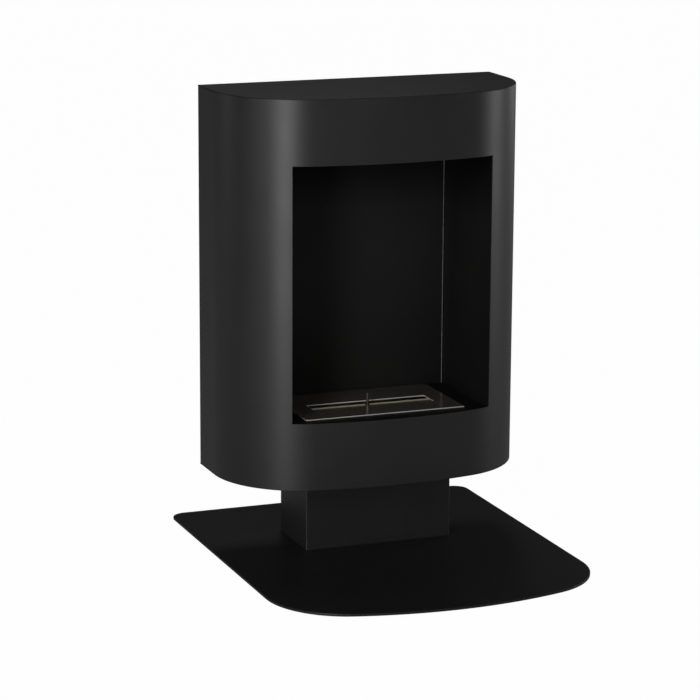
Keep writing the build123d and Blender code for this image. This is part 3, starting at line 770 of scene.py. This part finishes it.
def carve(mesh: Mesh, cutter: BMesh) -> Mesh:
    """Cuts one mesh out of another.

    Args:
        mesh: The mesh that is cut. It is deleted.
        cutter: What is taken out of it. It is freed.

    Returns:
        The mesh that is left.
    """
    tool_mesh = to_mesh(cutter, "cutter")
    body, tool = put("carved", mesh), put("cutter", tool_mesh)
    cut = body.modifiers.new("cut", "BOOLEAN")
    cut.object = tool
    cut.operation = "DIFFERENCE"
    cut.solver = "EXACT"
    graph = bpy.context.evaluated_depsgraph_get()
    left = bpy.data.meshes.new_from_object(body.evaluated_get(graph))
    for item in (body, tool):
        bpy.data.objects.remove(item)
    bpy.data.meshes.remove(mesh)
    bpy.data.meshes.remove(tool_mesh)
    return left


def four_corners(half_x: float, front_y: float, rear_y: float) -> list[Span]:
    """The corners of a rectangle in plan that is centred on x = 0."""
    return [(-half_x, front_y), (half_x, front_y), (half_x, rear_y), (-half_x, rear_y)]


def drill_bits(points: Iterable[Span], radii: Span, levels: Span) -> BMesh:
    """Upright cones or cylinders to cut holes with.

    Args:
        points: Where they stand in plan.
        radii: Their lower and upper radius.
        levels: Their lower and upper end.

    Returns:
        A mesh with all of them.
    """
    bits = bmesh.new()
    for x, y in points:
        bmesh.ops.create_cone(
            bits,
            cap_ends=True,
            segments=HOLE_SIDES,
            radius1=radii[0],
            radius2=radii[1],
            depth=levels[1] - levels[0],
            matrix=Matrix.Translation((x, y, (levels[0] + levels[1]) / 2)),
        )
    return bits


def touch_up(piece: Object, accent: Material, chosen: Callable[[MeshPolygon], bool]) -> None:
    """Gives faces of a modelled piece a finish that isn't quite its slot's usual one.

    Args:
        piece: The piece.
        accent: The finish they get.
        chosen: Tells whether a face gets it.
    """
    piece.data.materials.append(accent)
    for polygon in piece.data.polygons:
        if chosen(polygon):
            polygon.material_index = 1


@dataclass
class Bench:
    """Where pieces are finished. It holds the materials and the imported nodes."""

    nodes: dict[str, Object]
    slots: dict[str, str]
    materials: dict[Finish, Material] = field(init=False)

    def __post_init__(self) -> None:
        """Builds every slot's finish once."""
        self.materials = {finish: recipe.material() for finish, recipe in RECIPES.items()}

    def polish(self, piece: Object, finish: Finish, edge: float) -> None:
        """Gives a piece its finish, fine round edges and smooth shading.

        Args:
            piece: The piece.
            finish: Its finish.
            edge: The radius of its sharp edges, or 0 to leave them as they are.
        """
        piece.data.materials.clear()
        piece.data.materials.append(self.materials[finish])
        piece.data.shade_smooth()
        if edge > 0:
            bevel = piece.modifiers.new("edge", "BEVEL")
            bevel.width = edge
            bevel.segments = 2
            bevel.limit_method = "ANGLE"
            bevel.angle_limit = SHARP_TURN
        piece.modifiers.new("normals", "WEIGHTED_NORMAL").keep_sharp = True

    def add(
        self, name: str, mesh: Mesh | BMesh, finish: Finish, body: str, *stands_for: str, edge: float = 0
    ) -> Object:
        """Finishes a modelled piece.

        Args:
            name: The piece's name.
            mesh: Its mesh, in place.
            finish: Its finish.
            body: The body it moves with.
            *stands_for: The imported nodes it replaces.
            edge: The radius of its sharp edges.

        Returns:
            The piece.
        """
        if isinstance(mesh, BMesh):
            mesh = to_mesh(mesh, name)
        piece = put(name, mesh)
        self.polish(piece, finish, edge)
        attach(piece, body)
        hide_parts(*stands_for)
        LOG.info("%s: %d faces, on %s", name, len(mesh.polygons), body)
        return piece

    def dress(self, *names: str, edge: float = 0) -> None:
        """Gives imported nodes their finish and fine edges, their shape being right already.

        Args:
            *names: The nodes' names.
            edge: The radius of their sharp edges.
        """
        for name in names:
            piece, finish = self.nodes[name], Finish(self.slots[name])
            piece.modifiers.new("weld", "WELD").merge_threshold = MERGE
            self.polish(piece, finish, edge)
            LOG.info("%s: dressed as %s", name, finish.value)


# ---------------------------------------------------------------- the fireplace


@dataclass(frozen=True)
class DPlan:
    """A plan outline with a flat rear, straight sides, round shoulders and a shallow front."""

    width: float
    depth: float
    front_radius: float
    shoulder_radius: float
    rear_y: float
    front_steps: int = 16
    shoulder_steps: int = 32
    stop_steps: int = 8
    corner_steps: int = 10

    @property
    def front_y(self) -> float:
        """Where the middle of the front is."""
        return self.rear_y - self.depth

    @property
    def shoulder_x(self) -> float:
        """Where the shoulder's centre is, to the right of the middle."""
        return self.width / 2 - self.shoulder_radius

    def front_half(self, bm: BMesh, level: float, stop_x: float | None = None) -> BMVert:
        """Draws the right half of the front, up to the straight side.

        Args:
            bm: The mesh it goes into.
            level: Its height.
            stop_x: Where on the shoulder it needs a vertex, or None.

        Returns:
            The last vertex.
        """
        reach = self.front_radius - self.shoulder_radius
        drop = math.sqrt(reach**2 - self.shoulder_x**2)
        front_centre = (0.0, self.front_y + self.front_radius)
        shoulder_centre = (self.shoulder_x, front_centre[1] - drop)
        tangent = math.atan2(self.shoulder_x, drop)
        vert = bm.verts.new((0, self.front_y, level))
        vert = sweep(bm, vert, front_centre, tangent, self.front_steps)
        if stop_x is not None:
            stop = math.asin((stop_x - self.shoulder_x) / self.shoulder_radius)
            vert = sweep(bm, vert, shoulder_centre, stop - tangent, self.stop_steps)
            tangent = stop
        rest = math.pi / 2 - tangent
        return sweep(bm, vert, shoulder_centre, rest, self.shoulder_steps)

    def slab(self, level: float, thickness: float, corner: float = 0.0) -> BMesh:
        """Models a flat plate with this outline.

        Args:
            level: The height of its underside.
            thickness: Its thickness.
            corner: The radius of its rear corners.

        Returns:
            Its mesh.
        """
        half = self.width / 2
        bm = bmesh.new()
        vert = self.front_half(bm, level)
        vert = draw_to(bm, vert, half, self.rear_y - corner)
        if corner > 0:
            centre = (half - corner, self.rear_y - corner)
            vert = sweep(bm, vert, centre, math.pi / 2, self.corner_steps)
        draw_to(bm, vert, 0, self.rear_y)
        reflect(bm, "X")
        thicken(bm, fill(bm, bm.edges[:]), thickness)
        return bm


@dataclass
class FloorPlate:
    """The wide plate on the floor and the foot of the pedestal on it."""

    bench: Bench
    plan: DPlan = DPlan(width=0.634, depth=0.752, front_radius=0.734, shoulder_radius=0.156, rear_y=0.376)
    corner: float = 30 * MM
    thickness: float = 5 * MM
    edge: float = 0.8 * MM
    screw_x: float = 110 * MM
    screw_rows: Span = (73.75 * MM, 163.75 * MM)
    shank: float = 3.25 * MM  # radius of the screw holes
    sink: float = 6.55 * MM  # radius of their countersinks

    def build(self) -> None:
        """Models the plate, with its countersunk holes, and dresses what screws it down."""
        bm = self.plan.slab(0.0, self.thickness, self.corner)
        rims = edges_at(bm, 0.0) + edges_at(bm, self.thickness)
        round_edges(bm, rims, self.edge, segments=3)
        mesh = to_mesh(bm, "floor_plate_sheet")
        screws = four_corners(self.screw_x, *self.screw_rows)
        through = (-PAST, self.thickness + PAST)
        mesh = carve(mesh, drill_bits(screws, (self.shank, self.shank), through))
        flare, sunk = self.sink + PAST, (-PAST, self.sink - self.shank)
        mesh = carve(mesh, drill_bits(screws, (flare, self.shank), sunk))
        plate = self.bench.add("floor_plate_sheet", mesh, Finish.POWDER, "stove", "floor_plate")
        # the plate gets a darker copy of the coat: painted shade
        touch_up(plate, ShadedFloorCoat().material(), lambda face: True)
        self.bench.dress("foot_screws", "pedestal_foot", "foot_nuts")


@dataclass
class Pedestal:
    """The folded column between the floor plate and the body."""

    bench: Bench
    width: float = 297 * MM
    front_y: float = 47 * MM
    rear_y: float = 190.5 * MM
    base: float = 5 * MM
    height: float = 139 * MM
    sheet: float = 2 * MM
    bend: float = 2.5 * MM
    flange: float = 20 * MM

    def build(self) -> None:
        """Models the folded shell and dresses the flanges, the cover and the fasteners."""
        half = self.width / 2
        fold_x, fold_y = half - self.bend, self.rear_y - self.bend
        bm = bmesh.new()
        vert = bm.verts.new((0, self.front_y, self.base))
        vert = draw_corner(bm, vert, (fold_x, self.front_y), (fold_x, self.front_y + self.bend))
        vert = draw_corner(bm, vert, (half, fold_y), (fold_x, fold_y))
        draw_to(bm, vert, half - self.flange, self.rear_y)
        reflect(bm, "X")
        lift(bm, bm.edges[:], self.height)
        middle = (0, (self.front_y + self.rear_y) / 2, self.base + self.height / 2)
        sheet_metal(bm, self.sheet, middle)
        self.bench.add("pedestal_column", bm, Finish.POWDER, "stove", "pedestal_shell", edge=SHEET_EDGE)
        self.bench.dress("pedestal_rear_cover", edge=PANEL_EDGE)
        self.bench.dress("pedestal_head", "rear_cover_screws")
        self.bench.dress("head_bolts", "head_washers", "head_nuts")


@dataclass
class OuterBody:
    """The wrapped outer sheet with its front opening, and the plates that close it."""

    bench: Bench
    plan: DPlan = DPlan(width=0.6, depth=0.276, front_radius=0.845, shoulder_radius=0.176, rear_y=0.231)
    base: float = 144 * MM
    top: float = 882 * MM
    sheet: float = 2 * MM
    bend: float = 2.5 * MM
    flange: float = 22 * MM
    panel: float = 1.5 * MM
    opening_half: float = 200 * MM
    opening_base: float = 273.5 * MM
    opening_top: float = 758.5 * MM
    opening_corner: float = 1.5 * MM
    top_rim: float = 1.9 * MM
    base_rim: float = 1 * MM
    edge: float = 0.35 * MM
    bolt_x: float = 90 * MM
    bolt_rows: Span = (83.75 * MM, 153.75 * MM)
    bolt_hole: float = 4.25 * MM

    def build(self) -> None:
        """Models the wrap and the two end plates, and dresses the back."""
        self.wrap()
        self.end_plates()
        self.bench.dress("back_panel", edge=PANEL_EDGE)
        self.bench.dress("back_panel_screws")

    def wrap(self) -> None:
        """Models the wrapped sheet and cuts its opening."""
        half, rear_y = self.plan.width / 2, self.plan.rear_y - self.panel
        fold = (half - self.bend, rear_y - self.bend)
        level = self.base + self.sheet
        bm = bmesh.new()
        vert = self.plan.front_half(bm, level, self.opening_half)
        vert = draw_corner(bm, vert, (half, fold[1]), fold)
        draw_to(bm, vert, half - self.flange, rear_y)
        reflect(bm, "X")
        edges = bm.edges[:]
        for upper in (self.opening_base, self.opening_top, self.top - self.sheet):
            edges = lift(bm, edges, upper - level)
            level = upper
        opening = [face for face in bm.faces if self.in_opening(face)]
        bmesh.ops.delete(bm, geom=opening, context="FACES")
        sheet_metal(bm, self.sheet, (0, rear_y / 2, (self.base + self.top) / 2))
        corners = [edge for edge in bm.edges if all(map(self.at_opening_corner, edge.verts))]
        round_edges(bm, corners, self.opening_corner, segments=4)
        self.bench.add("body_wrap", bm, Finish.POWDER, "stove", "body_shell", edge=self.edge)

    def in_opening(self, face: BMFace) -> bool:
        """Whether a face of the wrap lies where the opening is."""
        x, y, z = face.calc_center_median()
        return abs(x) < self.opening_half and y < 0 and self.opening_base < z < self.opening_top

    def at_opening_corner(self, vert: BMVert) -> bool:
        """Tells whether a vertex lies at a corner of the opening.

        Args:
            vert: A vertex of the wrap.

        Returns:
            Whether it does.
        """
        x, y, z = vert.co
        off_level = min(abs(z - level) for level in (self.opening_base, self.opening_top))
        return abs(abs(x) - self.opening_half) < self.sheet and y < 0 and off_level < MERGE

    def end_plates(self) -> None:
        """Models the top and bottom plates, each with its outer edge ground round."""
        bm = self.plan.slab(self.top - self.sheet, self.sheet)
        round_edges(bm, edges_at(bm, self.top), self.top_rim, segments=6)
        self.bench.add("body_lid", bm, Finish.POWDER, "stove", "body_top", edge=SHEET_EDGE)
        bm = self.plan.slab(self.base, self.sheet)
        round_edges(bm, edges_at(bm, self.base), self.base_rim, segments=4)
        bolts = four_corners(self.bolt_x, *self.bolt_rows)
        through = (self.base - PAST, self.base + self.sheet + PAST)
        bits = drill_bits(bolts, (self.bolt_hole, self.bolt_hole), through)
        mesh = carve(to_mesh(bm, "body_floor"), bits)
        self.bench.add("body_floor", mesh, Finish.POWDER, "stove", "body_bottom", edge=SHEET_EDGE)


@dataclass
class Firebox:
    """The open chamber in the body: floor, walls, ceiling and the shield at the back."""

    bench: Bench
    half: float = 199 * MM
    face_y: float = 210 * MM
    return_depth: float = 14 * MM  # of the flanges that are folded backwards
    bend: float = 2.5 * MM
    sheet: float = 1.5 * MM
    base: float = 269 * MM
    top: float = 763 * MM

    def build(self) -> None:
        """Models the folded heat shield and dresses the flat sheets and the fasteners."""
        bm = bmesh.new()
        fold = (self.half - self.bend, self.face_y + self.bend)
        vert = bm.verts.new((0, self.face_y, self.base))
        vert = draw_corner(bm, vert, (fold[0], self.face_y), fold)
        draw_to(bm, vert, self.half, self.face_y + self.return_depth)
        reflect(bm, "X")
        lift(bm, bm.edges[:], self.top - self.base)
        behind = (0, self.face_y + self.return_depth, (self.base + self.top) / 2)
        sheet_metal(bm, self.sheet, behind)
        shield = self.bench.add("rear_shield", bm, Finish.FIREBOX, "stove", "heat_shield", edge=PANEL_EDGE)
        # both folds get a pale steel finish: a painted highlight down each
        touch_up(
            shield,
            FoldHighlight().material(),
            lambda face: abs(face.center.x) > fold[0]
            and face.center.y < fold[1]
            and abs(face.normal.z) < STANDING,
        )
        sheets = ("firebox_floor", "firebox_side_right", "firebox_side_left", "firebox_ceiling")
        self.bench.dress(*sheets, "floor_carrier_right", "floor_carrier_left", edge=SHEET_EDGE)
        self.bench.dress("floor_screws", "floor_nuts", "ceiling_screws", "ceiling_nuts")
        self.bench.dress("shield_standoffs", "shield_screws")


@dataclass
class Burner:
    """The drop-in burner: its plate with the flame slot, the fuel container and the wool."""

    bench: Bench
    size: Span = (324 * MM, 195 * MM)
    middle_y: float = 109.5 * MM
    base: float = 268.5 * MM
    plate: float = 2.5 * MM
    corner: float = 2 * MM
    edge: float = 0.5 * MM
    ground: float = 0.9  # the faces whose normal rises less than this are ground
    slot: Span = (244 * MM, 49 * MM)
    slot_y: float = 95 * MM
    container: tuple[float, float, float] = (300 * MM, 171 * MM, 52 * MM)
    container_corner: float = 4 * MM
    container_sheet: float = 1.2 * MM
    wool_gap: float = 0.3 * MM
    wool_height: float = 30 * MM
    wool_edge: float = 2 * MM
    wool_cells: tuple[int, int] = (74, 42)
    wool_pile: float = 1 * MM  # how far its tufts may stand up
    tufts: tuple[Span, ...] = ((55.0, 0.7), (160.0, 0.3))  # how many in a metre, and their share
    unworn: float = 0.9  # tufts above this stand up
    sink: float = 2.2 * MM  # how deep the wool's top is worn down

    def build(self) -> None:
        """Models the plate, the container and the wool, and dresses the damper's rails."""
        bm = bmesh.new()
        outer = rounded_rectangle(bm, self.size, (0, self.middle_y), self.corner, self.base)
        inner = rounded_rectangle(bm, self.slot, (0, self.slot_y), self.corner, self.base)
        ring = bmesh.ops.bridge_loops(bm, edges=outer + inner)["faces"]
        thicken(bm, ring, self.plate)
        round_edges(bm, edges_at(bm, self.base + self.plate), self.edge, segments=3)
        top = self.bench.add("burner_top", bm, Finish.STAINLESS, "burner", "burner_plate")
        # the ground edges' near-white finish is partly a painted highlight
        edge = SatinEdgeHighlight().material()
        touch_up(top, edge, lambda face: abs(face.normal.z) < self.ground)

        width, depth, height = self.container
        floor_z = self.base - height
        middle = (0, self.middle_y)
        bm = bmesh.new()
        loop = rounded_rectangle(bm, (width, depth), middle, self.container_corner, floor_z)
        fill(bm, loop)
        lift(bm, loop, height)
        sheet_metal(bm, self.container_sheet, (*middle, self.base - height / 2))
        self.bench.add("fuel_box", bm, Finish.STAINLESS, "burner", "fuel_container", edge=SHEET_EDGE)
        self.wool(floor_z + self.container_sheet + self.wool_gap)
        self.bench.dress("damper_rails", edge=0.2 * MM)

    def wool(self, level: float) -> None:
        """Models the wool as a soft block with a tufted, slightly sunken top.

        Args:
            level: The height of its underside.
        """
        margin = 2 * (self.container_sheet + self.wool_gap)
        width, depth = self.container[0] - margin, self.container[1] - margin
        bm = bmesh.new()
        columns, rows = self.wool_cells
        bmesh.ops.create_grid(bm, x_segments=columns, y_segments=rows, size=0.5)  # a metre square
        bmesh.ops.scale(bm, vec=(width, depth, 1), verts=bm.verts[:])
        bmesh.ops.translate(bm, vec=(0, self.middle_y, level), verts=bm.verts[:])
        top = self.wool_height - self.wool_pile
        thicken(bm, bm.faces[:], top)
        for vert in bm.verts:
            if vert.co.z > level + top / 2:
                tuft = sum(share * noise.noise(vert.co * count) for count, share in self.tufts)
                vert.co.z += min(self.wool_pile, (tuft - self.unworn) * self.sink)
        bmesh.ops.recalc_face_normals(bm, faces=bm.faces[:])
        pad = self.bench.add("wool_pad", bm, Finish.WOOL, "burner", "absorbent_wool", edge=self.wool_edge)


@dataclass
class Damper:
    """The plate that slides under the flame slot, with its upright pin."""

    bench: Bench
    half: float = 131 * MM
    rear_y: float = 104 * MM
    depth: float = 55 * MM
    top: float = 268.2 * MM
    thickness: float = 1.5 * MM
    corner: float = 1.5 * MM
    pin_at: Span = (-6 * MM, 94 * MM)
    pin_radius: float = 2.5 * MM
    pin_top: float = 292.5 * MM
    pin_tip: float = 0.8 * MM
    collar: Span = (4.5 * MM, 1.8 * MM)  # radius and height
    stub: Span = (2 * MM, 5.5 * MM)  # radius and length
    chamfer: float = 0.3 * MM
    tip_steps: int = 6
    turn_steps: int = 40

    def build(self) -> None:
        """Models the sliding plate and the turned pin, and dresses the nut."""
        bm = bmesh.new()
        level = self.top - self.thickness
        middle = (0, self.rear_y - self.depth / 2)
        loop = rounded_rectangle(bm, (2 * self.half, self.depth), middle, self.corner, level)
        thicken(bm, fill(bm, loop), self.thickness)
        round_edges(bm, edges_at(bm, self.top), SHEET_EDGE, segments=2)
        # its tint carries a painted highlight at the rear edge and painted shade towards the front
        self.bench.add("damper_slide_plate", bm, Finish.TINT_AND_PAINTED_LIGHT, "damper", "damper_plate")
        bm = bmesh.new()
        self.turn_pin(bm)
        pin = self.bench.add("damper_pin_turned", bm, Finish.STAINLESS, "damper", "damper_pin")
        touch_up(pin, FlamedPin().material(), lambda face: face.center.z > self.top)
        self.bench.dress("pin_nut", edge=0.15 * MM)

    def turn_pin(self, bm: BMesh) -> None:
        """Turns the pin on a lathe: half its outline is spun about its axis.

        Args:
            bm: The mesh it goes into.
        """
        collar_radius, collar_height = self.collar
        stub_radius, stub_length = self.stub
        fine = self.chamfer
        profile = [
            (0, -stub_length),
            (stub_radius - fine, -stub_length),
            (stub_radius, fine - stub_length),
            (stub_radius, 0),
            (collar_radius - fine, 0),
            (collar_radius, fine),
            (collar_radius, collar_height - fine),
            (collar_radius - fine, collar_height),
            (self.pin_radius + fine, collar_height),
            (self.pin_radius, collar_height + fine),
        ]
        rise = self.pin_top - self.top
        for step in range(self.tip_steps + 1):
            angle = step / self.tip_steps * math.pi / 2
            inward = self.pin_tip * (1 - math.cos(angle))
            upward = self.pin_tip * math.sin(angle)
            profile.append((self.pin_radius - inward, rise - self.pin_tip + upward))
        profile.append((0, rise))
        x, y = self.pin_at
        verts = [bm.verts.new((x + r, y, self.top + z)) for r, z in profile]
        edges = [bm.edges.new(pair) for pair in zip(verts, verts[1:])]
        bmesh.ops.spin(
            bm,
            geom=verts + edges,
            cent=(x, y, self.top),
            axis=(0, 0, 1),
            angle=2 * math.pi,
            steps=self.turn_steps,
            use_merge=True,
            use_duplicate=False,
        )
        bmesh.ops.remove_doubles(bm, verts=bm.verts[:], dist=MERGE)
        bmesh.ops.recalc_face_normals(bm, faces=bm.faces[:])


# ---------------------------------------------------------------- studio


@dataclass(frozen=True)
class Softbox:
    """A soft rectangular lamp that points at the fireplace."""

    name: str
    azimuth: float  # degrees from the front, positive to the right
    elevation: float
    size: Span
    power: float  # watts
    distance: float = 4.0
    aim: tuple[float, float, float] = (0.0, 0.05, 0.5)

    def light(self) -> None:
        """Adds the lamp."""
        turn, rise = math.radians(self.azimuth), math.radians(self.elevation)
        flat = math.cos(rise)
        way = Vector((math.sin(turn) * flat, -math.cos(turn) * flat, math.sin(rise)))
        lamp = bpy.data.lights.new(self.name, "AREA")
        lamp.shape = "RECTANGLE"
        lamp.size, lamp.size_y = self.size
        lamp.energy = self.power
        item = put(self.name, lamp)
        item.location = Vector(self.aim) + way * self.distance
        item.rotation_euler = (-way).to_track_quat("-Z", "Y").to_euler()
        item.visible_camera = False


@dataclass
class Studio:
    """The white floor, the world, the lamps and the camera."""

    eye: tuple[float, float, float] = (-1.98284, -4.89704, 1.60509)
    yaw: float = 21.244
    pitch: float = 12.893
    roll: float = 0.314
    lens: float = 148.03
    sensor: float = 36.0
    floor_half: float = 30.0
    floor_gap: float = 0.2 * MM  # the floor lies this far under the plate
    paper: str = "#a8a8a8"
    paper_white: float = 0.985  # how white the camera sees it
    ambient: float = 0.3  # the share of the white surround that lights dull surfaces
    mirrored: float = 0.025  # the share of it that shows in mirrors
    lamps: tuple[Softbox, ...] = (
        Softbox("left_strip", -42, 0, (0.7, 0.98), 47.0),
        Softbox("left_top", -42, 25, (1.2, 1.2), 40.0),
        Softbox("right_strip", 78, 3, (1.0, 1.3), 23.0),
        Softbox("right_front", 10, 14, (1.2, 1.2), 5.0),
        Softbox("right_top", 45, 48, (1.4, 1.4), 4.0),
        Softbox("rear_top", 165, 48, (1.4, 1.4), 9.0),
        Softbox("rear_left", -120, 8, (0.7, 1.6), 5.0),
        Softbox("rear_right", 120, 8, (0.7, 1.6), 8.0),
        Softbox("left_side", -75, 2, (0.7, 1.3), 5.0),
    )

    def build(self) -> None:
        """Sets up everything that isn't part of the fireplace."""
        self.floor()
        self.world()
        for lamp in self.lamps:
            lamp.light()
        self.camera()
        bpy.context.scene.view_settings.view_transform = "Standard"

    def floor(self) -> None:
        """Adds a white floor that keeps a faint shadow of the fireplace."""
        bm = bmesh.new()
        bmesh.ops.create_grid(bm, x_segments=1, y_segments=1, size=self.floor_half)
        bmesh.ops.translate(bm, verts=bm.verts[:], vec=(0, 0, -self.floor_gap))
        item = put("studio_floor", to_mesh(bm, "studio_floor"))
        material = bpy.data.materials.new("white_studio_paper")
        tree = empty_tree(material)
        paper = add_node(tree, "BsdfDiffuse", {"Color": linear(self.paper)})
        white = add_node(tree, "Emission", {"Color": (1, 1, 1, 1), "Strength": 1.0})
        seen = add_node(tree, "LightPath").outputs["Is Camera Ray"]
        settings = {"operation": "MULTIPLY", 1: self.paper_white}
        share = add_node(tree, "Math", settings, {0: seen})
        mix = add_node(tree, "MixShader", links={0: share, 1: paper, 2: white})
        add_node(tree, "OutputMaterial", links={"Surface": mix})
        item.data.materials.append(material)

    def world(self) -> None:
        """Makes the background white and the ambient light plain.

        Mirrored in metal the surround has only a small share of its white: the coat is a matt black
        whose sheen a full white surround would turn grey.
        """
        world = bpy.data.worlds.new("studio")
        bpy.context.scene.world = world
        tree = empty_tree(world)
        world.cycles.sampling_method = "NONE"  # only traced rays know what kind they are
        path = add_node(tree, "LightPath")
        strength = None
        for kind, share in (
            ("Is Camera Ray", 1.0),
            ("Is Transmission Ray", 1.0),
            ("Is Glossy Ray", self.mirrored),
            ("Is Diffuse Ray", self.ambient),
        ):
            links = {0: path.outputs[kind]}
            if strength is not None:
                links[2] = strength
            settings = {"operation": "MULTIPLY_ADD", 1: share, 2: 0.0}
            strength = add_node(tree, "Math", settings, links)
        settings = {"Color": (1, 1, 1, 1)}
        shade = add_node(tree, "Background", settings, {"Strength": strength})
        add_node(tree, "OutputWorld", links={"Surface": shade})

    def camera(self) -> None:
        """Places the camera where the photograph was taken from."""
        yaw, pitch, roll = (math.radians(a) for a in (self.yaw, self.pitch, self.roll))
        flat = math.cos(pitch)
        forward = Vector((math.sin(yaw) * flat, math.cos(yaw) * flat, -math.sin(pitch)))
        right = Vector((math.cos(yaw), -math.sin(yaw), 0))
        up = right.cross(forward)
        across = right * math.cos(roll) + up * math.sin(roll)
        above = up * math.cos(roll) - right * math.sin(roll)
        lens = bpy.data.cameras.new("photograph")
        lens.sensor_width = self.sensor
        lens.lens = self.lens
        lens.clip_end = 100.0
        item = put("photograph", lens)
        turned = Matrix((across, above, -forward)).transposed().to_4x4()
        item.matrix_world = Matrix.Translation(self.eye) @ turned
        bpy.context.scene.camera = item


def main() -> None:
    """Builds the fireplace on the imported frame, and the studio round it."""
    logging.basicConfig(level=logging.INFO, format="%(name)s: %(message)s")
    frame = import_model()
    slots = {part["node"]: part["material_slot"] for part in frame["record"]["subparts"]}
    bench = Bench(frame["nodes"], slots)
    for assembly in (FloorPlate, Pedestal, OuterBody, Firebox, Burner, Damper):
        assembly(bench).build()
    Studio().build()


if __name__ == "__main__":
    main()
